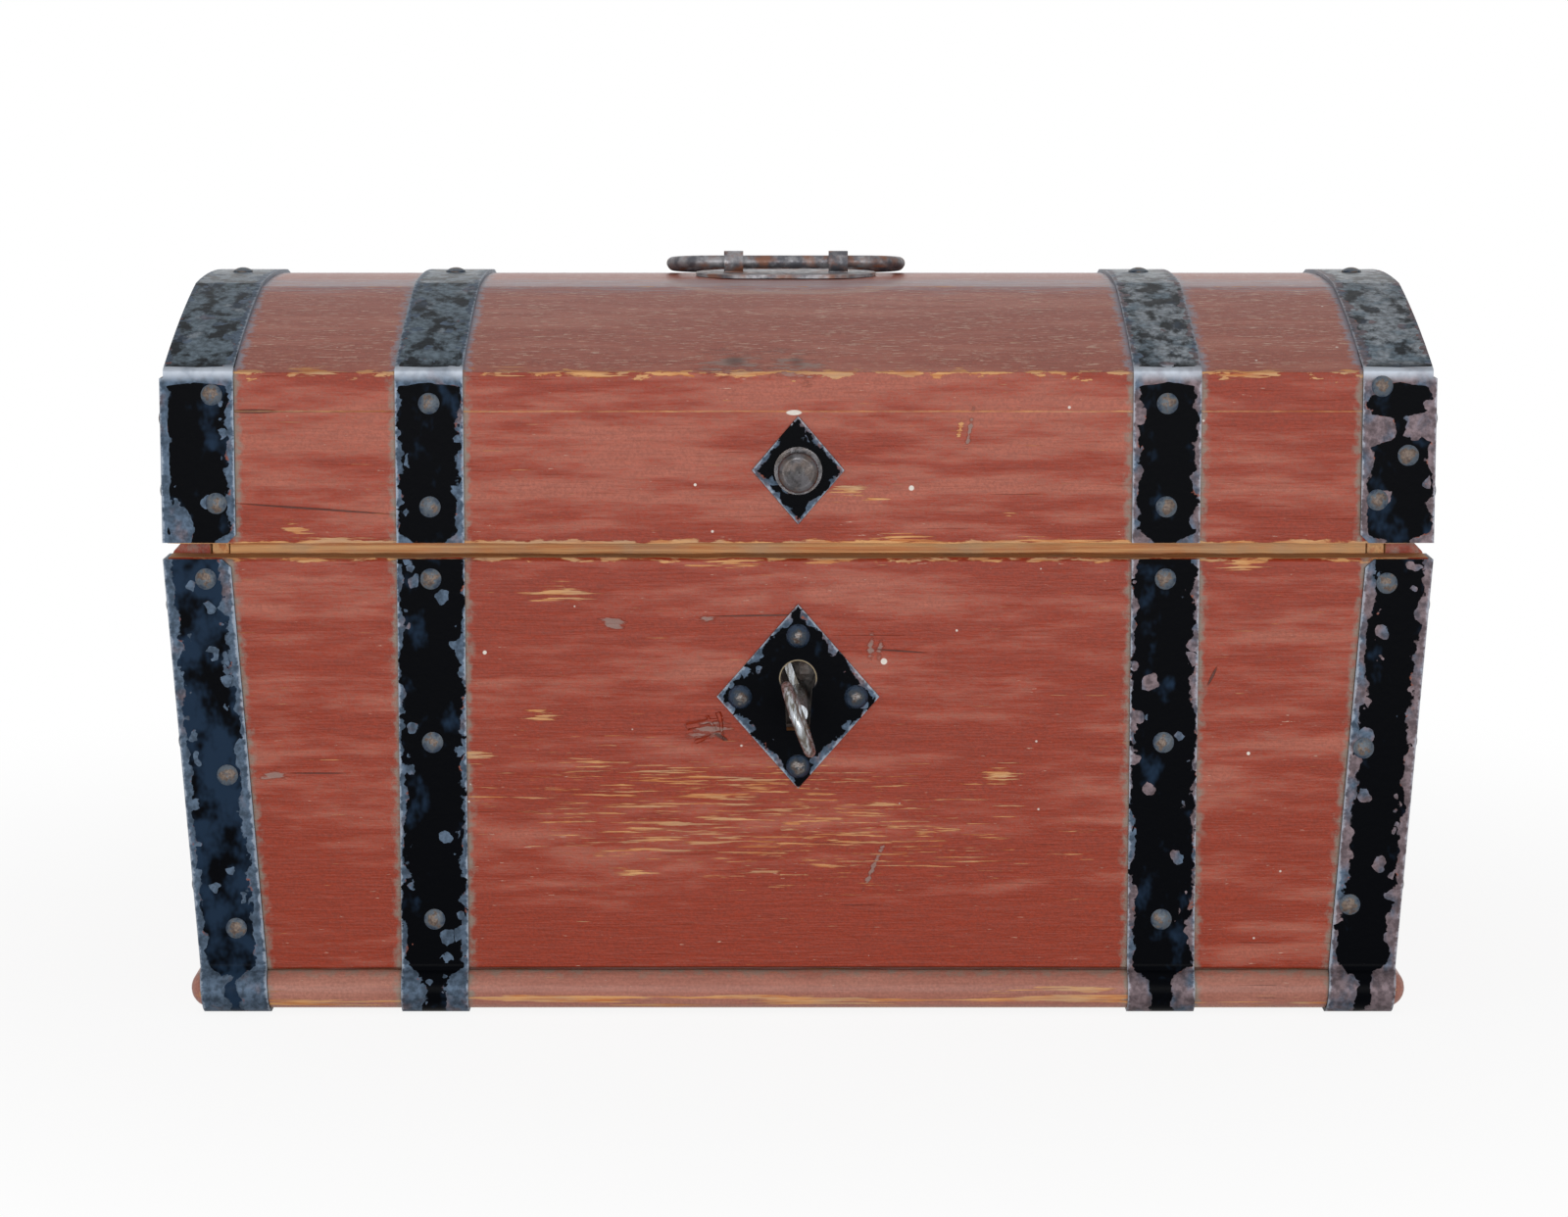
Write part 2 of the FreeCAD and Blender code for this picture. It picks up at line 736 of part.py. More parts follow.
lid_places = []
base_places = []
strap_face = half_depth + strap
for front in (-1, 1):
    facing = (0, front, 0)
    depth = front * strap_face
    for side in (-1, 1):
        for share in LID_NAIL_SHARES:
            level = lid_low + (crease - lid_low) * share
            lid_places.append((side * size["strap_place"], depth, level, facing))
        for share, across in LID_CORNER_SHARES[side]:
            x = side * (half_length - size["lid_corner_leg"] * across)
            lid_places.append((x, depth, lid_low + (crease - lid_low) * share, facing))
        for share in BASE_NAIL_SHARES[:-1] if front > 0 else BASE_NAIL_SHARES:
            base_places.append((side * size["strap_place"], depth, floor + (rim - floor) * share, facing))
        for share, across in BASE_CORNER_SHARES[side]:
            level = floor + (rim - floor) * share
            x = side * (half_at(level) - size["base_corner_leg"] * across)
            base_places.append((x, depth, level, facing))
        wing_depth = front * (half_depth - size["corner_wing"] / 2)
        for share in LID_WING_SHARES:
            level = lid_low + (crease - lid_low) * share
            lid_places.append((side * (half_length + strap), wing_depth, level, (side, 0, 0)))
        for share in BASE_WING_SHARES:
            level = floor + (rim - floor) * share
            lean = size["end_lean"].number / size["base_height"].number
            base_places.append((side * (half_at(level) + strap), wing_depth, level, (side, 0, -lean)))
for side in (-1, 1):
    for x in (size["strap_place"], half_length - size["lid_corner_leg"] / 2):
        lid_places.append((side * x, 0, ridge + strap, (0, 0, 1)))
lid_nails = node("lid_strap_nails", nail_group("lid_strap_nails", strap_nail, lid_places))
base_nails = node("base_strap_nails", nail_group("base_strap_nails", strap_nail, base_places))

# Lid straps, from the back over the dome to the front.
dome_path = [
    (half_depth, crease, size["stave_radius"]),
    (half_crown, crown_edge, size["crown_radius"]),
    (-half_crown, crown_edge, size["stave_radius"]),
    (-half_depth, crease),
]
strap_low = lid_low + size["strap_margin"]
half_strap = size["strap_width"] / 2
half_knuckle = size["lid_knuckle"] / 2
for label, side in (("lid_strap_left", -1), ("lid_strap_right", 1)):
    middle = side * size["strap_place"]
    across = (middle - half_strap, middle + half_strap)
    path = [(half_depth, axis_level + knuckle_reach), *dome_path, (-half_depth, strap_low)]
    flat_iron = band(f"{label}_band", path, across)
    eye = (middle - half_knuckle, middle + half_knuckle)
    tongue_levels = (axis_level, axis_level + knuckle_reach + strap)
    tongue = block(f"{label}_tongue", eye, (half_depth, strap_face), tongue_levels)
    roll = rod(f"{label}_roll", eye, axis_depth, axis_level, knuckle)
    whole = combine("MultiFuse", f"{label}_whole", [flat_iron, tongue, roll])
    pin_bore = rod(f"{label}_bore", (eye[0] - overrun, eye[1] + overrun), axis_depth, axis_level, bore)
    bored = combine("Cut", f"{label}_bored", [whole, pin_bore])
    node(label, combine("Cut", label, [bored, lid_nails]))

for label, side in (("lid_corner_strap_left", -1), ("lid_corner_strap_right", 1)):
    inner = half_length - size["lid_corner_leg"]
    clip = size["corner_clip"]
    path = [(half_depth, strap_low), *dome_path, (-half_depth, strap_low)]
    flat_iron = band(f"{label}_band", path, span(side, inner, half_length))
    shape = [
        (side * half_length, strap_low),
        (side * half_length, ridge + overrun),
        (side * inner, ridge + overrun),
        (side * inner, strap_low + clip),
        (side * (inner + clip), strap_low),
    ]
    trim = prism(f"{label}_trim", "XZ", shape, -strap_face - overrun, strap_face + overrun)
    pieces = [combine("MultiCommon", f"{label}_leg", [flat_iron, trim])]
    for front in (-1, 1):
        depth = span(front, half_depth - size["corner_wing"], strap_face)
        level = (strap_low, crease - size["wing_lift"])
        pieces.append(block(f"{label}_wing", span(side, half_length, half_length + strap), depth, level))
    whole = combine("MultiFuse", f"{label}_whole", pieces)
    node(label, combine("Cut", label, [whole, lid_nails]))

# Base straps, from the rim down, round the nosing and under the bottom.
bend = size["strap_bend"]
nose_depth = -half_nose_depth + nose
bend_offset = bend + nose_depth + half_depth
bend_level = floor - nose + root((bend + nose) * (bend + nose) - bend_offset * bend_offset)
nose_share = nose / (nose + bend)
meet_depth = nose_depth - bend_offset * nose_share
meet_level = floor - nose + (bend_level - floor + nose) * nose_share
foot_path = [
    (-half_depth, bend_level, -bend),
    (meet_depth, meet_level, nose),
    (-half_nose_depth, floor - nose),
    (-half_nose_depth, bottom_low + nose, nose),
    (nose_depth, bottom_low),
    (-half_depth + size["strap_tuck"], bottom_low),
]
strap_high = rim - size["strap_margin"]


def base_band(label, front, top, across):
    path = [(-half_depth, top), *foot_path]
    if front > 0:
        path = mirrored(path)[::-1]
        radii = [corner[2:] for corner in path]
        path = [(*corner[:2], *(-r for r in radius)) for corner, radius in zip(path, radii[1:] + [()])]
    return band(label, path, across)


for side, name in ((-1, "left"), (1, "right")):
    middle = side * size["strap_place"]
    across = (middle - half_strap, middle + half_strap)
    label = f"base_strap_front_{name}"
    flat_iron = base_band(f"{label}_band", -1, strap_high, across)
    node(label, combine("Cut", label, [flat_iron, base_nails]))

    label = f"base_strap_back_{name}"
    pieces = [base_band(f"{label}_band", 1, axis_level - knuckle_reach, across)]
    edge = half_knuckle + size["knuckle_gap"]
    for hand in (-1, 1):
        eye = span(hand, edge, half_strap)
        eye = (middle + eye[0], middle + eye[1])
        level = (axis_level - knuckle_reach - strap, axis_level)
        pieces.append(block(f"{label}_tongue", eye, (half_depth, strap_face), level))
        pieces.append(rod(f"{label}_roll", eye, axis_depth, axis_level, knuckle))
    whole = combine("MultiFuse", f"{label}_whole", pieces)
    pin_bore = rod(f"{label}_bore", (across[0] - overrun, across[1] + overrun), axis_depth, axis_level, bore)
    bored = combine("Cut", f"{label}_bored", [whole, pin_bore])
    node(label, combine("Cut", label, [bored, base_nails]))

    pin = (across[0] - size["pin_end"], across[1] + size["pin_end"])
    label = f"hinge_pin_{name}"
    node(label, rod(label, pin, axis_depth, axis_level, size["pin_radius"]))

    for front, place in ((-1, "front"), (1, "back")):
        label = f"base_corner_{place}_{name}"
        leg = size["base_corner_leg"]
        clip = size["corner_clip"]
        low = bottom_low - overrun
        outline = [
            (side * (half_at(low) + strap), low),
            (side * (half_at(low) - leg), low),
            (side * (half_at(strap_high - clip) - leg), strap_high - clip),
            (side * (half_at(strap_high) - leg + clip), strap_high),
            (side * (half_at(strap_high) + strap), strap_high),
        ]
        depth = span(front, half_depth - size["strap_tuck"] - overrun, half_nose_depth + strap + overrun)
        trim = prism(f"{label}_trim", "XZ", outline, *depth)
        reach_x = span(side, half_foot - leg - overrun, half_length + strap)
        flat_iron = base_band(f"{label}_band", front, strap_high, reach_x)
        front_leg = combine("MultiCommon", f"{label}_leg", [flat_iron, trim])
        low = floor + size["wing_lift"]
        section = [
            (side * half_at(low), low),
            (side * (half_at(low) + strap), low),
            (side * (half_at(strap_high) + strap), strap_high),
            (side * half_at(strap_high), strap_high),
        ]
        wing_depth = span(front, half_depth - size["corner_wing"], strap_face)
        wing = prism(f"{label}_wing", "XZ", section, *wing_depth)
        whole = combine("MultiFuse", f"{label}_whole", [front_leg, wing])
        node(label, combine("Cut", label, [whole, base_nails]))


# Knob, riveted through its plate, the lid and the foot of the catch.
def diamond(width, height, level):
    return [(0, level - height / 2), (width / 2, level), (0, level + height / 2), (-width / 2, level)]


plate_face = -half_depth - size["plate_thick"]
shape = diamond(size["knob_plate_width"], size["knob_plate_height"], knob_level)
knob_plate = node("knob_plate", solid("knob_plate", "XZ", shape, plate_face, -half_depth))
knob_bore = size["knob_shank"] + size["shank_play"]
feature(knob_plate, "Pocket", "XZ", plate_face, -half_depth, circle=(0, knob_level, knob_bore))
catch_back = -lid_inside_depth + size["catch_thick"]
knob_end = plate_face - size["knob_reach"]
round_share = 0.3
knob_round = size["knob_radius"] * round_share
knob_outline = [
    (knob_end - size["knob_crown"], 0),
    (knob_end, size["knob_radius"] - knob_round, -knob_round),
    (knob_end + knob_round, size["knob_radius"]),
    (plate_face - size["collar_thick"], size["knob_neck"]),
    (plate_face - size["collar_thick"], size["knob_collar"]),
    (plate_face, size["knob_collar"]),
    (plate_face, size["knob_shank"]),
    (catch_back, size["knob_shank"]),
    (catch_back, size["knob_rivet"]),
    (catch_back + size["rivet_thick"], size["knob_shank"]),
    (catch_back + size["rivet_thick"], 0),
]
node("lid_knob", turned("lid_knob", knob_level, knob_outline))

# Catch: a bent hook that drops from the lid behind the front lip into the lock.
catch_front = -inside_depth + size["lip_thick"] + size["catch_lip_gap"]
hook_back = catch_front + size["catch_thick"]
half_catch = size["catch_width"] / 2
catch_foot_high = lid_low + size["catch_foot_rise"]
catch_bend_high = lid_low + size["catch_bend_rise"]
catch_bend_low = catch_bend_high - size["catch_bend_drop"]
notch_low = finger_low - size["notch_under"]
notch_high = finger_high + size["notch_over"]
catch_low = notch_low - size["catch_tip"]
profile = [
    (-lid_inside_depth, catch_foot_high),
    (-lid_inside_depth, catch_bend_high),
    (catch_front, catch_bend_low),
    (catch_front, catch_low),
    (hook_back, catch_low),
    (hook_back, catch_bend_low + size["catch_thick"] / 2),
    (catch_back, catch_bend_high + size["catch_thick"] / 2),
    (catch_back, catch_foot_high),
]
catch = node("lock_catch", solid("lock_catch", "YZ", profile, -half_catch, half_catch))
notch_end = -half_catch + size["notch_reach"]
notch = rectangle(-half_catch - overrun, notch_end, notch_low, notch_high)
feature(catch, "Pocket", "XZ", catch_front - overrun, hook_back + overrun, notch)
feature(
    catch, "Pocket", "XZ", -lid_inside_depth, catch_back, circle=(0, knob_level, knob_bore)
)
catch_level = catch_foot_high - size["catch_nail_inset"]
places = [
    (side * (half_catch - size["catch_nail_inset"]), catch_back, catch_level, (0, 1, 0)) for side in (-1, 1)
]
node("catch_nails", nail_group("catch_nails", small_nail, places))
small_hole = size["small_shank"] + size["shank_play"]
for x, depth, level, facing in places:
    feature(catch, "Pocket", "XZ", -lid_inside_depth, catch_back, circle=(x, level, small_hole))

# Keyhole plate and its domed nails.
shape = diamond(size["keyhole_plate_width"], size["keyhole_plate_height"], keyhole_level)
keyhole_plate = node("keyhole_plate", solid("keyhole_plate", "XZ", shape, plate_face, -half_depth))
feature(keyhole_plate, "Pocket", "XZ", plate_face, -half_depth, keyhole(0))
places = [
    (
        size["keyhole_plate_width"] / 2 * across,
        plate_face,
        keyhole_level + size["keyhole_plate_height"] / 2 * up,
        (0, -1, 0),
    )
    for across, up in PLATE_NAIL_SHARES
]
node("keyhole_plate_nails", nail_group("keyhole_plate_nails", plate_nail, places))
for x, depth, level, facing in places:
    hole = (x, level, size["nail_shank"] + size["shank_play"])
    feature(keyhole_plate, "Pocket", "XZ", plate_face, -half_depth, circle=hole)

# Lock, on the inside of the front board.
sheet_iron = size["lock_sheet"]
case_front = -inside_depth + sheet_iron
case_back = case_front + size["lock_depth"]
half_lock = size["lock_length"] / 2
half_plate = size["lock_plate_length"] / 2
plate = rectangle(-half_plate, half_plate, lock_plate_low, lock_plate_high)
lock_plate = node("lock_plate", solid("lock_plate", "XZ", plate, -inside_depth, case_front))
feature(lock_plate, "Pocket", "XZ", -inside_depth, case_front, keyhole(0))

outside = rectangle(-half_lock, half_lock, lock_low, lock_high)
case = node("lock_case", solid("lock_case", "XZ", outside, case_front, case_back))
room = rectangle(
    -half_lock + sheet_iron,
    half_lock - sheet_iron,
    lock_low + sheet_iron,
    lock_high - sheet_iron,
)
feature(case, "Pocket", "XZ", case_front, case_back - sheet_iron, room)
slot = rectangle(
    -half_catch - size["slot_room"],
    half_catch + size["slot_room"],
    catch_front - size["slot_front"],
    hook_back + size["slot_back"],
)
feature(case, "Pocket", "XY", lock_high - sheet_iron - overrun, lock_high, slot)
guide = (0, key_level, size["key_pin"] + size["guide_play"])
feature(case, "Pocket", "XZ", case_back - sheet_iron, case_back, circle=guide)

places = [
    (side * (half_plate - size["lock_nail_inset"]), case_front, level, (0, 1, 0))
    for side in (-1, 1)
    for level in (
        lock_plate_low + size["lock_nail_inset"],
        lock_plate_high - size["lock_nail_inset"],
    )
]
node("lock_nails", nail_group("lock_nails", small_nail, places))
for x, depth, level, facing in places:
    feature(lock_plate, "Pocket", "XZ", -inside_depth, case_front, circle=(x, level, small_hole))

bolt_back = case_back - sheet_iron - size["bolt_back_gap"]
bolt_front = bolt_back - size["bolt_thick"]
bolt_shape = [
    (-size["bolt_left"], bolt_low),
    (-size["talon_left"], bolt_low),
    (-size["talon_left"], talon_top),
    (size["talon_right"], talon_top),
    (size["talon_right"], bolt_low),
    (size["bolt_right"], bolt_low),
    (size["bolt_right"], bolt_high),
    (-size["bolt_left"] + size["bolt_arm"], bolt_high),
    (-size["bolt_left"] + size["bolt_arm"], finger_low),
    (-size["finger_end"], finger_low),
    (-size["finger_end"], finger_high),
    (-size["bolt_left"], finger_high),
]
node("lock_bolt", solid("lock_bolt", "XZ", bolt_shape, bolt_front, bolt_back))

spring_side = half_lock - sheet_iron
leaf = size["spring_thick"]
spring_low = bolt_high + size["spring_gap"]
spring_top = spring_low + size["spring_rise"]
curl_level = spring_low + size["curl_rise"]
spring_shape = [
    (spring_side, spring_top),
    (size["spring_foot"], spring_low),
    (size["spring_end"], curl_level),
    (size["spring_end"], curl_level + leaf),
    (size["spring_foot"], spring_low + leaf),
    (spring_side, spring_top + leaf),
]
middle = (bolt_front + bolt_back) / 2
spring_depth = (middle - size["spring_width"] / 2, middle + size["spring_width"] / 2)
node("bolt_spring", solid("bolt_spring", "XZ", spring_shape, *spring_depth))

# Key: a round bow and a flat bit on a shank, leaning as it stands in the lock.
bow_depth = -half_depth - size["bow_reach"]
shank_start = bow_depth + size["bow_radius"]
bit_front = case_front + size["bit_gap"]
bit_back = bit_front + size["bit_length"]
shaft = [
    (shank_start, 0),
    (shank_start, size["key_shank"]),
    (bit_back, size["key_shank"]),
    (bit_back, size["key_pin"]),
    (case_back, size["key_pin"]),
    (case_back, 0),
]
shank = turned("key_shank_body", sized(0), shaft)
bow = doc.addObject("Part::Torus", "key_bow")
bow.Placement = FreeCAD.Placement(FreeCAD.Vector(), FreeCAD.Rotation(FreeCAD.Vector(0, 1, 0), 90))
bind(bow, "Radius1", size["bow_radius"])
bind(bow, "Radius2", size["bow_wire"])
bind(bow, "Placement.Base.y", bow_depth)
half_bit = size["bit_thick"] / 2
bit_reach = talon_top - key_level - size["bit_play"]
bit = block("key_bit", (-half_bit, half_bit), (bit_front, bit_back), (0, bit_reach))
key = combine("MultiFuse", "key", [shank, bow, bit])
key.Placement = FreeCAD.Placement(FreeCAD.Vector(), FreeCAD.Rotation(FreeCAD.Vector(0, -1, 0), 1))
bind(key, "Placement.Base.z", key_level)
bind(key, "Placement.Rotation.Angle", size["key_tilt"])
node("key", key)

doc.recompute()
for made in doc.Objects:
    if "Invalid" in made.State or "Error" in made.State:
        raise RuntimeError(f"{made.Label} did not build: {made.State}")
os.makedirs("parts", exist_ok=True)
for made in nodes:
    if made.Shape.isNull() or not made.Shape.isValid() or not made.Shape.Solids:
        raise RuntimeError(f"{made.Label} is not a valid solid")
    made.Shape.exportStep(os.path.join("parts", f"{made.Label}.step"))
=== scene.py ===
import json
import math

import bmesh
import bpy
from mathutils import Matrix, Vector, noise

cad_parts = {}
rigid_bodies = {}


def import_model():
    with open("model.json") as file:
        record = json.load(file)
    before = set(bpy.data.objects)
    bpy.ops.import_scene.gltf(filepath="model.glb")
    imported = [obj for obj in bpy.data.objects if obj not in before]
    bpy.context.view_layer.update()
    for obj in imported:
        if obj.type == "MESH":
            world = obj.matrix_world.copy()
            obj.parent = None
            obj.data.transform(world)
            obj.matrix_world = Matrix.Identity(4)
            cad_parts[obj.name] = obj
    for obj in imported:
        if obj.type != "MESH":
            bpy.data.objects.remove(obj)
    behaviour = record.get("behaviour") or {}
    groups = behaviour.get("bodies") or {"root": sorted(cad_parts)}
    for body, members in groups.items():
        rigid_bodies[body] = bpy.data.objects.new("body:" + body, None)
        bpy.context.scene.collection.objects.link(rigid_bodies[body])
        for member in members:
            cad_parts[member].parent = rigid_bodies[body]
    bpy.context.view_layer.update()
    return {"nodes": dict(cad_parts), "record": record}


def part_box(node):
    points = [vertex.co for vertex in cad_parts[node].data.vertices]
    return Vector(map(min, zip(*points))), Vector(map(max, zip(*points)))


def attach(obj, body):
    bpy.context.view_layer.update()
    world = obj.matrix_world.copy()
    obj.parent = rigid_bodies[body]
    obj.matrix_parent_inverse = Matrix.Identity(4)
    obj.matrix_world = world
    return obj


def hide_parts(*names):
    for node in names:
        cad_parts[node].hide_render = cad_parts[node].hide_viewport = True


for leftover in list(bpy.data.objects):
    bpy.data.objects.remove(leftover)
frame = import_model()

bl_info = {
    "name": "Dome Top Box",
    "version": (1, 0, 0),
    "blender": (4, 5, 0),
    "location": "View3D > Sidebar > Dome Box",
    "description": "Dresses a small iron-bound pine box with a domed lid",
    "category": "Object",
}

MM = 0.001
PER_METRE = 1000.0
WELD = 0.00002
SLIVER = 0.000002
FLAT = math.radians(0.4)
SHARP = math.radians(32.0)
FOLD = math.radians(18.0)
CUT_EDGE = math.radians(50.0)

MATH = "ShaderNodeMath"
VECTOR = "ShaderNodeVectorMath"
RANGE = "ShaderNodeMapRange"
MIX = "ShaderNodeMix"
NOISE = "ShaderNodeTexNoise"
CELLS = "ShaderNodeTexVoronoi"
# A range that eases in and out, and stays within its ends.
SOFT = {"interpolation_type": "SMOOTHSTEP", "clamp": False}
# A mix of two colours.
TINT = {"data_type": "RGBA"}

BODY_OF = {
    node: body
    for body, nodes in frame["record"]["behaviour"]["bodies"].items()
    for node in nodes
}


def low(node):
    """Lowest corner of a node in millimetres."""
    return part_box(node)[0] * PER_METRE


def high(node):
    """Highest corner of a node in millimetres."""
    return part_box(node)[1] * PER_METRE


# Levels and faces of the box in millimetres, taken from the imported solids.
FLOOR = low("front_board").z
RIM = high("front_board").z
LID_FOOT = low("lid_front_board").z
SEAM = low("front_stave").z
CREASE = low("lid_left_end").z + 57.0  # where the dome starts above the lid's foot
CROWN = high("front_stave").z
CROWN_HALF = high("crown_stave").y
RIDGE = high("crown_stave").z
WALL = high("back_board").y
HALF_RIM = high("front_board").x
HALF_FOOT = HALF_RIM - 10.0  # the ends lean out by this much
LEAN = (HALF_RIM - HALF_FOOT) / (RIM - FLOOR)
SHEET = high("lid_corner_strap_right").x - HALF_RIM
STRAP_MIDDLE = 0.5 * (low("lid_strap_right").x + high("lid_strap_right").x)
STRAP_HALF = 0.5 * (high("lid_strap_right").x - low("lid_strap_right").x)
LID_LEG = low("lid_corner_strap_right").x
BASE_LEG = low("base_corner_front_right").x + SHEET
WING = -high("base_corner_front_right").y
BEND = CREASE + SHEET
KEYHOLE_DROP = 24.8
KEYHOLE_RADIUS = 5.9
# Stage in metres: the floor, the photo's camera, and the lamps' watts, sizes, places and aims.
FLOOR_HALF = 6.0
FLOOR_GAP = 0.0003
SENSOR = 36.0
LENS = 97.83
PITCH = math.radians(82.0)
VIEWPOINT = (-0.00467, -1.519475, 0.3332975)
LAMPS = (
    ("top_softbox", 2.5, (1.6, 1.6), (-0.35, -0.45, 1.75), (0.0, 0.0, 0.1)),
    ("front_softbox", 34.0, (2.4, 0.6), (0.1, -2.4, 0.34), (0.0, 0.0, 0.15)),
    ("back_softbox", 6.0, (2.4, 0.8), (0.2, 2.4, 0.5), (0.0, 0.0, 0.12)),
)


def linear(code):
    """Linear RGBA of an sRGB hex colour."""
    parts = [int(code[at:at + 2], 16) / 255.0 for at in (1, 3, 5)]
    bent = [p / 12.92 if p <= 0.04045 else ((p + 0.055) / 1.055) ** 2.4 for p in parts]
    return (*bent, 1.0)


def length(name, description, default):
    """A size of the box that a user may change, in metres."""
    return bpy.props.FloatProperty(
        name=name, description=description, default=default, min=0.0, subtype="DISTANCE",
        unit="LENGTH", precision=5)


def tint(name, description, code):
    """A colour of the box that a user may change."""
    return bpy.props.FloatVectorProperty(
        name=name, description=description, default=linear(code), size=4, min=0.0, max=1.0,
        subtype="COLOR")


class DomeBoxSizes(bpy.types.PropertyGroup):
    """Sizes of the wear and the small roundings."""

    board_step: length("Board step", "Length between two cuts across a board", 6.0 * MM)
    arris_wear: length("Arris wear", "How deep the boards' arrises are rubbed", 0.9 * MM)
    wear_reach: length("Wear reach", "Length of one rubbed place along an arris", 14.0 * MM)
    arris_round: length("Arris round", "Rounding of the boards' arrises", 0.55 * MM)
    fold_round: length("Fold round", "Rounding of the straps where they bend", 1.5 * MM)
    sheet_round: length("Sheet round", "Rounding of the cut edges of the iron", 0.28 * MM)


class DomeBoxColours(bpy.types.PropertyGroup):
    """Colours of the paint, the wood and the iron."""

    paint: tint("Paint", "Oxide red where it is whole", "#8e3722")
    chalk: tint("Chalked paint", "Oxide red gone pink and dull", "#9b5240")
    deep: tint("Deep paint", "Oxide red where it lies thick and oily", "#84290d")
    # Also used on the dome, where its paling is partly painted sheen.
    faded_and_sheen: tint("Faded paint", "Oxide red rubbed thin and grey", "#a57a6c")
    scuff: tint("Scuffs", "Fine pale scratches in the paint", "#c3a894")
    bruise: tint("Dents", "Bruised paint in the dents", "#83716a")
    pine: tint("Pine", "Bare pine", "#d2a06a")
    pine_line: tint("Pine line", "Late wood of bare pine", "#b8723f")
    pine_grey: tint("Dirty pine", "Bare pine gone grey", "#b3977a")
    grime: tint("Grime", "Pale dust and wax beside the iron", "#7f7b70")
    # Blue grey of the dust beside the dome's straps, and of the painted sheen on the crown.
    dust_and_sheen: tint("Bloom", "Blue grey bloom on the worn crown", "#878b97")
    # Dark dirt, and also the painted shadow round the splinters.
    soil_and_shadow: tint("Soil", "Dark dirt in cracks and corners", "#38190f")
    dust: tint("Dust", "White specks", "#d5cdc4")
    japan: tint("Japan", "Black japan", "#020306")
    japan_blue: tint("Thin japan", "Black japan worn thin over the iron's blue", "#1f3044")
    # Rubbed japan, also lightened on the dome's straps as painted reflection.
    rubbed_japan_and_sheen: tint("Rubbed japan", "Black japan rubbed to blue grey", "#64727d")
    steel: tint("Strap iron", "Bare strap iron, blue grey", "#485666")
    lilac: tint("Stained iron", "Bare strap iron with a brown lilac stain", "#665a5e")
    # Worn iron, and along the folds a painted highlight as well.
    bright: tint("Worn iron", "Iron worn bright on edges and folds", "#a6adb7")
    rust: tint("Rust", "Rust where the japan lifts", "#7a4029")
    rust_dark: tint("Dark rust", "Old brown rust", "#46342a")
    key_steel: tint("Key steel", "Handled steel of the key", "#b0b6bc")
    ground: tint("Floor", "Floor of the studio", "#f4f4f4")


def add(tree, kind, sockets=None, operation=None, **settings):
    """Adds a node: settings are its own, sockets hold values or what is linked to them."""
    made = tree.nodes.new(kind)
    if operation:
        made.operation = operation
    for name, value in settings.items():
        setattr(made, name, value)
    plug(tree, made, sockets or {})
    return made


def plug(tree, node, sockets):
    """Fills a node's sockets with values or with what is linked to them."""
    for place, value in sockets.items():
        source = value
        if isinstance(value, bpy.types.Node):
            source = next(out for out in value.outputs if out.enabled)
        if isinstance(source, bpy.types.NodeSocket):
            tree.links.new(source, node.inputs[place])
        else:
            node.inputs[place].default_value = source


def start_material(name):
    """A new material, with the place on the piece in millimetres."""
    surface = bpy.data.materials.new(name)
    surface.use_nodes = True
    tree = surface.node_tree
    shader = next(n for n in tree.nodes if n.type == "BSDF_PRINCIPLED")
    spot = add(tree, "ShaderNodeTexCoord").outputs["Object"]
    where = add(tree, VECTOR, {0: spot, 1: (PER_METRE,) * 3}, "MULTIPLY")
    axes = add(tree, "ShaderNodeSeparateXYZ", {0: where}).outputs
    return surface, tree, shader, where, axes


def speckle(tree, where, size, detail=3.0, shift=0.0):
    """Noise with spots of a size in millimetres, one number or one for each axis."""
    spread = size if isinstance(size, tuple) else (size,) * 3
    cells = add(tree, VECTOR, {0: where, 1: spread}, "DIVIDE")
    moved = add(tree, VECTOR, {0: cells, 1: (shift,) * 3}, "ADD")
    return add(tree, NOISE, {"Vector": moved, "Scale": 1.0, "Detail": detail, "Roughness": 0.6})


def grain(tree, where, along, long, wide, detail=3.0, shift=0.0):
    """Noise drawn out along the grain of a board."""
    spread = (long, wide, wide) if along == "X" else (wide, long, wide)
    return speckle(tree, where, spread, detail, shift)


def shaded(tree, colour, pattern, first, last):
    """A colour made lighter and darker by a noise."""
    shade = add(tree, RANGE, {0: pattern, 1: 0.3, 2: 0.7, 3: first, 4: last}, **SOFT)
    return add(tree, VECTOR, {0: colour, "Scale": shade}, "SCALE")


def apart(tree, value, place):
    """How far a value is from a place, to either side."""
    past = add(tree, MATH, {0: value, 1: place}, "SUBTRACT")
    return add(tree, MATH, {0: past}, "ABSOLUTE")


def from_line(tree, across, beside, height, level):
    """How far a place is from a long straight line on the box."""
    out = add(tree, MATH, {0: across, 1: beside}, "SUBTRACT")
    up = add(tree, MATH, {0: height, 1: level}, "SUBTRACT")
    pair = add(tree, "ShaderNodeCombineXYZ", {0: out, 1: up})
    return add(tree, VECTOR, {0: pair}, "LENGTH")


def nearest(tree, where, spots):
    """How far outside the nearest of some flat spots a place is, 1 at a spot's border."""
    field = None
    for x, z, half_x, half_z, tilt in spots:
        local = add(tree, "ShaderNodeMapping", {
            "Vector": where,
            "Location": (x, -WALL, z),
            "Rotation": (0.0, math.radians(tilt), 0.0),
            "Scale": (half_x, 12.0, half_z),
        }, vector_type="TEXTURE")
        away = add(tree, VECTOR, {0: local}, "LENGTH")
        field = away if field is None else add(
            tree, MATH, {0: field, 1: away}, "MINIMUM")
    return field


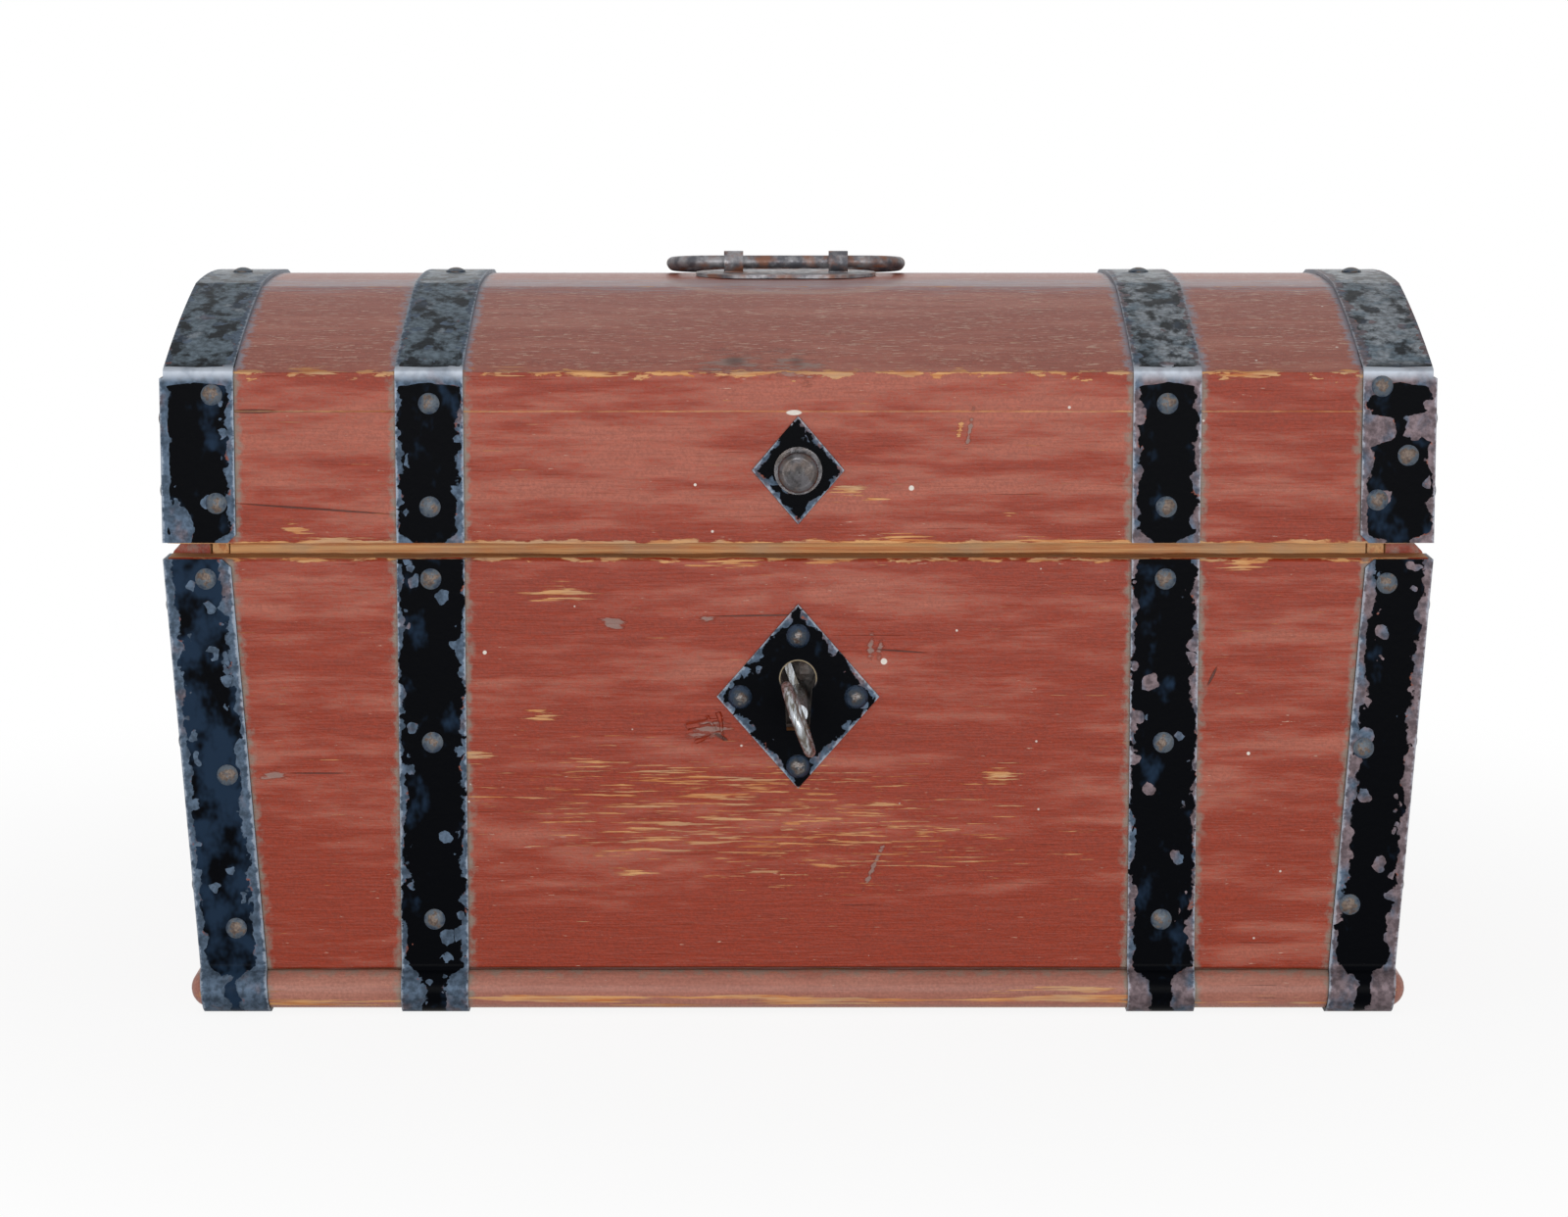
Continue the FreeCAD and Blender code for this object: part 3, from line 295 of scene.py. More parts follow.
# Places on the front, in millimetres from the middle and from the floor, with half length,
# half height and tilt. Chips: the paint is off to the bare wood.
BASE_CHIPS = (
    (-80.0, 142.0, 9.0, 2.2, -2.0), (-85.2, 101.2, 4.0, 1.4, 5.0), (67.2, 81.0, 5.0, 2.2, 0.0),
    (41.1, 61.1, 4.5, 1.4, 4.0), (-24.1, 152.0, 9.0, 1.6, 0.0), (9.9, 152.3, 5.0, 1.4, 0.0),
    (-53.8, 47.8, 7.0, 1.2, 2.0), (-109.1, 87.6, 8.0, 1.3, 0.0), (148.0, 151.0, 6.0, 1.4, 0.0),
    (-24.3, 66.1, 12.0, 1.1, 0.0),
)
LID_CHIPS = (
    (18.0, 176.3, 5.0, 1.1, 3.0), (26.0, 173.0, 4.0, 0.7, 0.0), (53.5, 197.0, 0.6, 3.0, 12.0),
    (-152.0, 159.5, 12.0, 1.1, 0.0), (88.0, 159.3, 14.0, 1.0, 0.0), (35.0, 160.0, 9.0, 1.4, 2.0),
    (-66.0, 214.6, 8.0, 1.2, 0.0), (150.0, 214.4, 9.0, 1.4, 0.0), (-95.0, 214.8, 6.0, 1.3, 0.0),
    (-160.0, 215.5, 7.0, 1.2, 0.0), (70.0, 168.0, 3.0, 0.7, 0.0), (-166.0, 163.0, 3.5, 1.5, 20.0),
)
# Dents: the paint is bruised grey, with a dark border. The last lies under the splinters, where
# its dark border is painted shadow.
BASE_DENTS_AND_SPLINTER_SHADOW = (
    (-61.5, 131.8, 3.4, 1.4, 4.0), (24.0, 123.3, 1.0, 3.6, 8.0), (27.2, 124.0, 0.9, 2.8, 8.0),
    (-174.5, 80.5, 3.6, 1.5, 4.0), (-30.0, 133.1, 2.4, 1.0, 0.0), (25.2, 49.4, 0.7, 7.0, 24.0),
    (-29.0, 96.0, 4.8, 2.4, -12.0),
)
LID_DENTS = (
    (56.5, 196.0, 0.6, 4.5, 10.0), (-22.0, 219.0, 9.0, 3.6, 0.0), (-1.0, 220.2, 7.5, 5.4, 0.0),
    (-132.0, 165.0, 0.8, 3.0, 0.0),
)
# Cracks: the wood has split or the paint has lifted, and dirt fills it. The one beside the keyhole
# plate is painted shadow round the splinters.
BASE_CRACKS_AND_SPLINTER_SHADOW = (
    (-12.0, 134.4, 17.0, 0.3, -1.0), (137.6, 114.0, 0.5, 3.6, 25.0), (-25.5, 93.5, 2.6, 0.7, 30.0),
    (34.0, 122.5, 9.0, 0.3, 4.0), (-160.0, 81.3, 10.0, 0.25, 0.0), (0.0, 14.6, 199.0, 0.9, 0.0),
)
LID_CRACKS = (
    (-160.0, 170.0, 26.0, 0.35, 4.0), (-179.0, 202.3, 7.5, 0.7, 0.0),
    (-166.0, 202.2, 60.0, 0.15, 0.0), (-21.0, 219.4, 6.0, 2.8, 0.0), (-0.5, 220.6, 5.0, 4.2, 0.0),
)
# Specks of dust and lime.
BASE_FLECKS = (
    (28.5, 119.0, 1.1, 1.1, 0.0), (-104.0, 122.0, 0.7, 0.7, 0.0), (150.0, 88.0, 0.6, 0.6, 0.0),
)
LID_FLECKS = (
    (37.4, 176.9, 0.9, 0.9, 0.0), (-1.4, 201.9, 2.6, 0.9, 0.0), (-34.0, 178.0, 0.5, 0.5, 0.0),
    (118.0, 206.0, 0.6, 0.6, 0.0),
)
# Splinters torn up beside the keyhole plate: root, tip and half thickness.
SPLINTERS = (
    ((-37.0, 97.0), (-25.0, 100.2), 1.3), ((-26.4, 102.0), (-24.6, 92.5), 1.0),
    ((-34.0, 92.0), (-25.5, 95.6), 0.8), ((-30.5, 100.8), (-27.0, 96.0), 0.7),
)
SPLINTER_SEED = 5  # without it their ragged shape would differ from run to run
# Bald places: the black has come off the iron of the lid's corners.
LID_BALD = (
    (197.0, 197.0, 14.0, 4.5, -8.0), (-203.0, 165.0, 4.0, 6.0, 0.0),
    (-211.0, 187.0, 3.0, 30.0, 0.0),
)


def oxide_red_paint(name, along, arrises, leg, lean, marks=((),) * 4, rubbed=False, faded_and_sheen=0.0,
                    arc=None, scuffed=0.0, oil=0.0, sheen=0.25, tear=8.0, top=None):
    """Old oxide red oil paint on planed pine, rubbed through to the wood."""
    # A lean oil paint gone dull: brush tone along the grain, a weak sheen, bare yellow pine
    # on every rubbed arris, white specks, and a pale line of wax and dust beside the iron.
    # An arris is a line (out, up) with its least and most wear; leg and lean place the corner
    # straps' inner edge; arc is the handle's worn mark, and with it comes a painted sheen of blue
    # grey on the crown; top is the level dust lies under.
    colours = bpy.context.scene.dome_box_colours
    chips, dents, cracks_and_shadow, flecks = marks
    surface, tree, shader, where, axes = start_material(name)
    across, run = (axes["Y"], axes["X"]) if along == "X" else (axes["X"], axes["Y"])
    side = add(tree, MATH, {0: across}, "ABSOLUTE")

    brushed = grain(tree, where, along, 105.0, 13.0, 5.0, 4.0)
    patchy = grain(tree, where, along, 26.0, 4.5, 5.0, 7.0)
    fine = grain(tree, where, along, 15.0, 0.8, 4.0, 3.0)
    tooth = speckle(tree, where, 0.9, 2.0, 19.0)
    tone = add(tree, MATH, {0: patchy, 1: 0.5, 2: brushed}, "MULTIPLY_ADD")
    tone = add(tree, MATH, {0: tooth, 1: 0.25, 2: tone}, "MULTIPLY_ADD")
    if rubbed:
        oil = add(tree, RANGE, {0: axes["Z"], 1: 0.55 * RIM, 2: FLOOR, 3: oil, 4: oil + 0.14},
                  **SOFT)
    tone = add(tree, MATH, {0: tone, 1: oil}, "ADD")
    oily = add(tree, RANGE, {0: tone, 1: 0.885, 2: 0.96}, **SOFT)
    dry = add(tree, RANGE, {0: tone, 1: 0.90, 2: 0.78, 3: 0.1, 4: 1.0}, **SOFT)
    body = add(tree, MIX, {0: dry, 6: colours.paint, 7: colours.chalk}, **TINT)
    body = add(tree, MIX, {0: oily, 6: body, 7: colours.deep}, **TINT)
    # Paint rubbed thin and grey; on the dome this paling is partly painted sheen.
    body = add(tree, MIX, {0: faded_and_sheen, 6: body, 7: colours.faded_and_sheen}, **TINT)
    body = shaded(tree, body, fine, 1.07, 0.92)
    body = shaded(tree, body, tooth, 0.86, 1.14)
    scrape = grain(tree, where, along, 5.0, 0.5, 3.0, 37.0)
    if scuffed:
        lift = add(tree, RANGE, {0: axes["Z"], 1: CREASE - 1.0, 2: CREASE + 2.0, 3: 0.0,
                                 4: scuffed}, **SOFT)
        lift = add(tree, MATH, {0: lift, 1: patchy}, "MULTIPLY")
        scrape = add(tree, MATH, {0: lift, 1: 2.0, 2: scrape}, "MULTIPLY_ADD")
    scrape = add(tree, RANGE, {0: scrape, 1: 0.70, 2: 0.755, 3: 0.0, 4: 0.8}, **SOFT)
    if arc:
        mid, half, deep = arc
        sideways = add(tree, RANGE, {0: axes["X"], 1: mid, 2: mid + half}, clamp=False)
        forward = add(tree, RANGE, {0: axes["Y"], 1: 0.0, 2: -deep}, clamp=False)
        squares = add(tree, MATH, {0: sideways, 1: 4.0}, "POWER")
        ring = add(tree, MATH, {0: forward, 1: 4.0}, "POWER")
        ring = add(tree, MATH, {0: squares, 1: ring}, "ADD")
        ring = apart(tree, ring, 1.0)
        ring = add(tree, RANGE, {0: ring, 1: 0.34, 2: 0.05, 3: 0.0, 4: 0.55}, **SOFT)
        ahead = add(tree, RANGE, {0: forward, 1: 0.25, 2: 0.6, 3: 0.0, 4: patchy}, **SOFT)
        ring = add(tree, MATH, {0: ring, 1: ahead}, "MULTIPLY")
        scrape = add(tree, MATH, {0: scrape, 1: ring}, "MAXIMUM")
    body = add(tree, MIX, {0: scrape, 6: body, 7: colours.scuff}, **TINT)
    # Painted sheen: blue grey streaks along the crown stand in for the reflection of the pale
    # surround, mixed with dusty wear.
    if arc:
        crown_sheen_and_wear = apart(tree, side, CROWN_HALF - 8.0)
        crown_sheen_and_wear = add(tree, RANGE, {0: crown_sheen_and_wear, 1: 30.0, 2: 4.0, 3: -0.40, 4: 0.0}, **SOFT)
        crown_sheen_and_wear = add(tree, MATH, {0: crown_sheen_and_wear, 1: fine}, "ADD")
        crown_sheen_and_wear = add(tree, RANGE, {0: crown_sheen_and_wear, 1: 0.28, 2: 0.62, 3: 0.0, 4: 0.6}, **SOFT)
        body = add(tree, MIX, {0: crown_sheen_and_wear, 6: body, 7: colours.dust_and_sheen}, **TINT)

    # Bare wood: along each arris, in streaks where hands rub, and on the knocked places.
    ragged = grain(tree, where, along, tear, 2.2, 4.0, 11.0)
    bare = None
    for beside, level, least, most in arrises:
        away = from_line(tree, side, beside, axes["Z"], level)
        spread = add(tree, RANGE, {0: ragged, 1: 0.40, 2: 0.70, 3: least, 4: most}, clamp=False)
        inside = add(tree, MATH, {0: spread, 1: away}, "SUBTRACT")
        worn = add(tree, RANGE, {0: inside, 1: -0.2, 2: 0.4}, **SOFT)
        bare = worn if bare is None else add(tree, MATH, {0: bare, 1: worn}, "MAXIMUM")
    scratch = grain(tree, where, along, 20.0, 0.75, 3.0, 23.0)
    limit = 0.695
    if rubbed:
        place = nearest(tree, where, ((-20.0, 67.0, 125.0, 31.0, 6.0),))
        limit = add(tree, RANGE, {0: place, 1: 0.2, 2: 1.15, 3: 0.525, 4: 0.70}, **SOFT)
    over = add(tree, MATH, {0: scratch, 1: limit}, "SUBTRACT")
    streak = add(tree, RANGE, {0: over, 1: 0.0, 2: 0.05, 3: 0.0, 4: 0.8}, **SOFT)
    bare = add(tree, MATH, {0: bare, 1: streak}, "MAXIMUM")
    if chips:
        reach = nearest(tree, where, chips)
        torn = add(tree, RANGE, {0: scratch, 1: 0.35, 2: 0.65, 3: -0.2, 4: 1.7}, clamp=False)
        inside = add(tree, MATH, {0: torn, 1: reach}, "SUBTRACT")
        knocked = add(tree, RANGE, {0: inside, 1: -0.1, 2: 0.2}, **SOFT)
        bare = add(tree, MATH, {0: bare, 1: knocked}, "MAXIMUM")
    line = add(tree, RANGE, {0: fine, 1: 0.40, 2: 0.62}, **SOFT)
    wood = add(tree, MIX, {0: line, 6: colours.pine, 7: colours.pine_line}, **TINT)
    dirty = add(tree, RANGE, {0: patchy, 1: 0.4, 2: 0.7, 3: 0.0, 4: 0.8}, **SOFT)
    wood = add(tree, MIX, {0: dirty, 6: wood, 7: colours.pine_grey}, **TINT)

    # Grime beside the straps, soil in the long drying cracks and at the foot, and painted shadow
    # round the splinters beside the keyhole plate.
    reach = add(tree, MATH, {0: run}, "ABSOLUTE")
    level = add(tree, MATH, {0: axes["Z"], 1: FLOOR}, "SUBTRACT")
    corner = add(tree, MATH, {0: level, 1: lean, 2: leg}, "MULTIPLY_ADD")
    gap = add(tree, MATH, {0: corner, 1: reach}, "SUBTRACT")
    if along == "X":
        inner = apart(tree, reach, STRAP_MIDDLE)
        inner = add(tree, MATH, {0: inner, 1: STRAP_HALF}, "SUBTRACT")
        gap = add(tree, MATH, {0: inner, 1: gap}, "MINIMUM")
    gap = add(tree, MATH, {0: gap}, "ABSOLUTE")
    if top:
        under = add(tree, MATH, {0: top + 1.0, 1: axes["Z"]}, "SUBTRACT")
        gap = add(tree, MATH, {0: gap, 1: under}, "MINIMUM")
    uneven = add(tree, RANGE, {0: speckle(tree, where, 3.2, 5.0), 1: 0.32, 2: 0.68, 3: -0.3,
                               4: 2.2 + 6.0 * scuffed}, **SOFT)
    beside = add(tree, MATH, {0: uneven, 1: gap}, "SUBTRACT")
    waxed = add(tree, RANGE, {0: beside, 1: -2.0, 2: 1.4, 3: 0.0, 4: 0.8}, **SOFT)
    dusted = colours.dust_and_sheen if scuffed else colours.grime
    coat = add(tree, MIX, {0: waxed, 6: body, 7: dusted}, **TINT)
    check = grain(tree, where, along, 48.0, 0.7, 2.0, 31.0)
    split = add(tree, RANGE, {0: check, 1: 0.68, 2: 0.80, 3: 0.0, 4: 0.55}, **SOFT)
    if dents:
        around = nearest(tree, where, dents)
        torn = add(tree, RANGE, {0: ragged, 1: 0.3, 2: 0.7, 3: -0.8, 4: 0.8}, **SOFT)
        around = add(tree, MATH, {0: around, 1: torn}, "ADD")
        hollow = add(tree, RANGE, {0: around, 1: 1.1, 2: 0.5, 3: 0.0, 4: 0.75}, **SOFT)
        coat = add(tree, MIX, {0: hollow, 6: coat, 7: colours.bruise}, **TINT)
        # Dark border round each dent; under the splinters it is painted shadow.
        border_and_shadow = apart(tree, around, 1.05)
        border_and_shadow = add(tree, RANGE, {0: border_and_shadow, 1: 0.3, 2: 0.0, 3: 0.0, 4: 0.3}, **SOFT)
        split = add(tree, MATH, {0: split, 1: border_and_shadow}, "MAXIMUM")
    # The crack beside the keyhole plate is painted shadow round the splinters.
    if cracks_and_shadow:
        cracked_and_shadowed = add(tree, RANGE, {0: nearest(tree, where, cracks_and_shadow), 1: 1.2, 2: 0.7, 3: 0.0,
                                   4: 0.85}, **SOFT)
        split = add(tree, MATH, {0: split, 1: cracked_and_shadowed}, "MAXIMUM")
    coat = add(tree, MIX, {0: split, 6: coat, 7: colours.soil_and_shadow}, **TINT)
    part = add(tree, MATH, {0: bare, 1: 0.9}, "MULTIPLY")
    shown = add(tree, MIX, {0: part, 6: coat, 7: wood}, **TINT)
    fleck = add(tree, CELLS, {"Vector": where, "Scale": 1.0 / 9.0})
    chance = add(tree, "ShaderNodeSeparateColor", {0: fleck.outputs["Color"]}).outputs["Red"]
    size = add(tree, RANGE, {0: chance, 1: 0.5, 2: 1.0, 3: 0.0, 4: 0.065}, **SOFT)
    speck = add(tree, MATH, {0: size, 1: fleck.outputs["Distance"]}, "SUBTRACT")
    speck = add(tree, RANGE, {0: speck, 1: -0.012, 2: 0.012, 3: 0.0, 4: 0.85}, **SOFT)
    if flecks:
        dot = add(tree, RANGE, {0: nearest(tree, where, flecks), 1: 1.1, 2: 0.8}, **SOFT)
        speck = add(tree, MATH, {0: speck, 1: dot}, "MAXIMUM")
    shown = add(tree, MIX, {0: speck, 6: shown, 7: colours.dust}, **TINT)

    relief = add(tree, MATH, {0: fine, 1: 0.5, 2: patchy}, "MULTIPLY_ADD")
    relief = add(tree, MATH, {0: tooth, 1: 0.25, 2: relief}, "MULTIPLY_ADD")
    relief = add(tree, MATH, {0: bare, 1: -0.5, 2: relief}, "MULTIPLY_ADD")
    relief = add(tree, MATH, {0: split, 1: -0.9, 2: relief}, "MULTIPLY_ADD")
    bump = add(tree, "ShaderNodeBump", {"Strength": 0.5, "Distance": 0.45 * MM, "Height": relief})
    rough = add(tree, RANGE, {0: bare, 3: 0.42, 4: 0.68}, **SOFT)
    plug(tree, shader, {"Base Color": shown, "Roughness": rough, "Normal": bump,
                        "Specular IOR Level": sheen})
    return surface


def raw_pine(name, along):
    """Planed pine never painted, gone yellow inside the box."""
    # Clear straight lines of late wood on yellow, dust in the corners, no shine.
    colours = bpy.context.scene.dome_box_colours
    surface, tree, shader, where, _ = start_material(name)
    rings = grain(tree, where, along, 160.0, 2.4, 4.0)
    fine = grain(tree, where, along, 30.0, 0.7, 3.0, 5.0)
    stain = speckle(tree, where, 22.0, 4.0)
    line = add(tree, RANGE, {0: rings, 1: 0.44, 2: 0.62}, **SOFT)
    wood = add(tree, MIX, {0: line, 6: colours.pine, 7: colours.pine_line}, **TINT)
    aged = add(tree, RANGE, {0: stain, 1: 0.4, 2: 0.72, 3: 0.1, 4: 0.75}, **SOFT)
    wood = add(tree, MIX, {0: aged, 6: wood, 7: colours.pine_grey}, **TINT)
    wood = shaded(tree, wood, fine, 0.86, 1.08)
    bump = add(tree, "ShaderNodeBump", {"Strength": 0.3, "Distance": 0.3 * MM, "Height": fine})
    plug(tree, shader, {"Base Color": wood, "Normal": bump, "Roughness": 0.7,
                        "Specular IOR Level": 0.3})
    return surface


def black_japan(name, shape, middle=0.0, lean=0.0, half=1.0, level=0.0, tall=1.0, loss=0.0,
                hole=None, bald=()):
    """Strap iron brushed with black japan that has chipped back from its edges."""
    # Deep blue black with a hard ragged border and oval flakes gone; outside it blue grey or
    # lilac iron, bright on the very edge and the folds, with a little rust where it lifts. The
    # bright folds are partly painted highlight, and the rubbed grey of the film on the dome is
    # partly painted reflection of the pale surround.
    colours = bpy.context.scene.dome_box_colours
    surface, tree, shader, where, axes = start_material(name)
    reach = add(tree, MATH, {0: axes["X"]}, "ABSOLUTE")
    if shape == "diamond":
        up = apart(tree, axes["Z"], level)
        up = add(tree, MATH, {0: up, 1: tall}, "DIVIDE")
        filled = add(tree, MATH, {0: reach, 1: 1.0 / half, 2: up}, "MULTIPLY_ADD")
        edge = add(tree, RANGE, {0: filled, 1: 1.0, 2: 0.0, 3: 0.0,
                                 4: half * tall / math.hypot(half, tall)}, clamp=False)
    else:
        up = add(tree, MATH, {0: axes["Z"], 1: FLOOR}, "SUBTRACT")
        centre = add(tree, MATH, {0: up, 1: lean, 2: middle}, "MULTIPLY_ADD")
        off = apart(tree, reach, centre)
        edge = add(tree, MATH, {0: half, 1: off}, "SUBTRACT")
    if shape == "corner":
        side = add(tree, "ShaderNodeTexCoord").outputs["Normal"]
        side = add(tree, "ShaderNodeSeparateXYZ", {0: side}).outputs["X"]
        side = add(tree, MATH, {0: side}, "ABSOLUTE")
        on_wing = add(tree, MATH, {0: side, 1: 0.7}, "GREATER_THAN")
        wing = add(tree, MATH, {0: axes["Y"]}, "ABSOLUTE")
        wing = add(tree, MATH, {0: wing, 1: WING}, "SUBTRACT")
        edge = add(tree, MIX, {0: on_wing, 2: edge, 3: wing}, data_type="FLOAT")

    # Where the film holds, in millimetres inside its border.
    lobes = speckle(tree, where, 9.0, 3.0)
    nibbles = speckle(tree, where, 2.2, 3.0, 9.0)
    islands = speckle(tree, where, (11.0, 11.0, 15.0), 3.0, 17.0)
    drift = speckle(tree, where, 6.0, 2.0, 61.0).outputs["Color"]
    adrift = add(tree, VECTOR, {0: drift, 1: (5.0, 5.0, 5.0), 2: where}, "MULTIPLY_ADD")
    flakes = add(tree, CELLS, {"Vector": adrift, "Scale": 1.0 / 4.8})
    chance = add(tree, "ShaderNodeSeparateColor", {0: flakes.outputs["Color"]}).outputs["Red"]
    wide = add(tree, RANGE, {0: chance, 1: 0.35, 2: 1.0, 3: 0.0, 4: 0.6}, **SOFT)
    inside = add(tree, MATH, {0: wide, 1: flakes.outputs["Distance"]}, "SUBTRACT")
    rare = 0.95 - 0.04 * loss
    deep = add(tree, RANGE, {0: chance, 1: rare, 2: rare + 0.02, 3: 2.6, 4: 12.0}, **SOFT)
    flaked = add(tree, RANGE, {0: inside, 1: 0.0, 2: 0.10}, **SOFT)
    flaked = add(tree, MATH, {0: flaked, 1: deep}, "MULTIPLY")
    film = add(tree, MATH, {0: lobes, 1: 10.0, 2: edge}, "MULTIPLY_ADD")
    film = add(tree, MATH, {0: nibbles, 1: 3.5, 2: film}, "MULTIPLY_ADD")
    film = add(tree, MATH, {0: film, 1: 8.3 + loss}, "SUBTRACT")
    film = add(tree, MATH, {0: film, 1: flaked}, "SUBTRACT")
    away = None
    if shape != "diamond":
        depth = add(tree, MATH, {0: axes["Y"]}, "ABSOLUTE")
        away = from_line(tree, depth, WALL + SHEET, axes["Z"], BEND)
        bent = add(tree, RANGE, {0: away, 1: 2.6, 2: 1.2, 3: 0.0, 4: 14.0}, **SOFT)
        below = add(tree, RANGE, {0: axes["Z"], 1: BEND - 6.2, 2: BEND - 3.6, 3: 0.0, 4: 14.0},
                    **SOFT)
        front = add(tree, MATH, {0: axes["Z"], 1: BEND}, "LESS_THAN")
        below = add(tree, MATH, {0: below, 1: front}, "MULTIPLY")
        bent = add(tree, MATH, {0: bent, 1: below}, "MAXIMUM")
        film = add(tree, MATH, {0: film, 1: bent}, "SUBTRACT")
        foot = add(tree, RANGE, {0: axes["Z"], 1: FLOOR + 3.0, 2: FLOOR - 3.0, 3: 0.0, 4: 6.0},
                   **SOFT)
        film = add(tree, MATH, {0: film, 1: foot}, "SUBTRACT")
        cut = apart(tree, axes["Z"], LID_FOOT)
        cut = add(tree, RANGE, {0: cut, 1: 4.5, 2: 0.5, 3: 0.0, 4: 5.0}, **SOFT)
        film = add(tree, MATH, {0: film, 1: cut}, "SUBTRACT")
    if bald:
        gone = add(tree, RANGE, {0: nearest(tree, where, bald), 1: 1.4, 2: 0.6, 3: 0.0, 4: 9.0},
                   **SOFT)
        film = add(tree, MATH, {0: film, 1: gone}, "SUBTRACT")
    black = add(tree, RANGE, {0: film, 1: -0.2, 2: 0.2}, **SOFT)

    # Bare iron: blue on the left, lilac on the right, bright where hands and folds wear it; along
    # the folds the bright band is partly painted highlight.
    biased = add(tree, RANGE, {0: axes["X"], 1: -200.0, 2: 200.0, 3: -0.10, 4: 0.12}, **SOFT)
    stain = add(tree, MATH, {0: islands, 1: biased}, "ADD")
    stain = add(tree, RANGE, {0: stain, 1: 0.46, 2: 0.66}, **SOFT)
    iron = add(tree, MIX, {0: stain, 6: colours.steel, 7: colours.lilac}, **TINT)
    mottle = add(tree, RANGE, {0: nibbles, 1: 0.3, 2: 0.7, 3: 0.55, 4: 1.3}, **SOFT)
    iron = add(tree, VECTOR, {0: iron, "Scale": mottle}, "SCALE")
    rim = add(tree, MATH, {0: nibbles, 1: -3.0, 2: edge}, "MULTIPLY_ADD")
    wear_and_highlight = add(tree, RANGE, {0: rim, 1: -0.7, 2: -1.5, 3: 0.0, 4: 0.45}, **SOFT)
    # Along the folds the bright band is partly painted highlight of the bend, partly wear.
    if away is not None:
        fold_wear_and_highlight = add(tree, RANGE, {0: away, 1: 5.0, 2: 1.0, 3: 0.0, 4: 1.0}, **SOFT)
        uneven = add(tree, RANGE, {0: lobes, 1: 0.3, 2: 0.6, 3: 0.55, 4: 1.0}, **SOFT)
        fold_wear_and_highlight = add(tree, MATH, {0: fold_wear_and_highlight, 1: uneven}, "MULTIPLY")
        wear_and_highlight = add(tree, MATH, {0: wear_and_highlight, 1: fold_wear_and_highlight}, "MAXIMUM")
    if hole:
        centre, radius = hole
        ring = from_line(tree, reach, 0.0, axes["Z"], centre)
        ring = add(tree, MATH, {0: ring, 1: radius}, "SUBTRACT")
        ring = add(tree, RANGE, {0: ring, 1: 0.6, 2: 0.2}, **SOFT)
        rising = add(tree, RANGE, {0: axes["Z"], 1: centre - 0.6 * radius, 2: centre}, **SOFT)
        ring = add(tree, MATH, {0: ring, 1: rising}, "MULTIPLY")
        kept = add(tree, MATH, {0: 1.0, 1: ring}, "SUBTRACT")
        black = add(tree, MATH, {0: black, 1: kept}, "MULTIPLY")
    iron = add(tree, MIX, {0: wear_and_highlight, 6: iron, 7: colours.bright}, **TINT)
    if hole:
        iron = add(tree, MIX, {0: ring, 6: iron, 7: linear("#8a7c64")}, **TINT)
    border = add(tree, MATH, {0: film}, "ABSOLUTE")
    border = add(tree, RANGE, {0: border, 1: 1.0, 2: 0.3}, **SOFT)
    lifted = add(tree, RANGE, {0: speckle(tree, where, 4.0, 4.0, 29.0), 1: 0.58, 2: 0.68, 3: 0.0,
                               4: 0.8}, **SOFT)
    border = add(tree, MATH, {0: border, 1: lifted}, "MULTIPLY")
    iron = add(tree, MIX, {0: border, 6: iron, 7: colours.rust}, **TINT)

    # The film itself: black, blue where it is thin, and on the dome scuffed grey that is partly
    # painted reflection of the pale surround.
    bluer = -0.9 if loss > 1.0 else 0.0
    thin = add(tree, MATH, {0: biased, 1: bluer, 2: islands}, "MULTIPLY_ADD")
    least = 0.56 - 0.06 * loss
    thin = add(tree, RANGE, {0: thin, 1: least, 2: least + 0.2, 3: 0.0, 4: 0.9}, **SOFT)
    coat = add(tree, MIX, {0: thin, 6: colours.japan, 7: colours.japan_blue}, **TINT)
    # Painted reflection: on the dome the film is mixed towards blue grey for the pale surround it
    # would mirror, together with rubbed wear.
    if away is not None:
        scuffs_and_sheen = speckle(tree, where, (7.0, 11.0, 8.0), 7.0, 41.0)
        rubbed = add(tree, RANGE, {0: scuffs_and_sheen, 1: 0.41, 2: 0.55, 3: 0.10, 4: 0.95}, **SOFT)
        upper = add(tree, RANGE, {0: axes["Z"], 1: CREASE + 1.0, 2: CREASE + 4.0}, **SOFT)
        rubbed = add(tree, MATH, {0: rubbed, 1: upper}, "MULTIPLY")
        grey = add(tree, MIX, {0: stain, 6: colours.rubbed_japan_and_sheen, 7: linear("#8b9299")}, **TINT)
        grey = add(tree, VECTOR, {0: grey, "Scale": mottle}, "SCALE")
        coat = add(tree, MIX, {0: rubbed, 6: coat, 7: grey}, **TINT)
    shown = add(tree, MIX, {0: black, 6: iron, 7: coat}, **TINT)
    metal = add(tree, RANGE, {0: black, 3: 0.4, 4: 0.0}, **SOFT)
    rough = add(tree, RANGE, {0: black, 3: 0.5, 4: 0.36}, **SOFT)
    thick = add(tree, MATH, {0: nibbles, 1: 0.35, 2: black}, "MULTIPLY_ADD")
    bump = add(tree, "ShaderNodeBump", {"Strength": 0.5, "Distance": 0.25 * MM, "Height": thick})
    plug(tree, shader, {"Base Color": shown, "Metallic": metal, "Roughness": rough,
                        "Normal": bump, "Specular IOR Level": 0.02})
    return surface


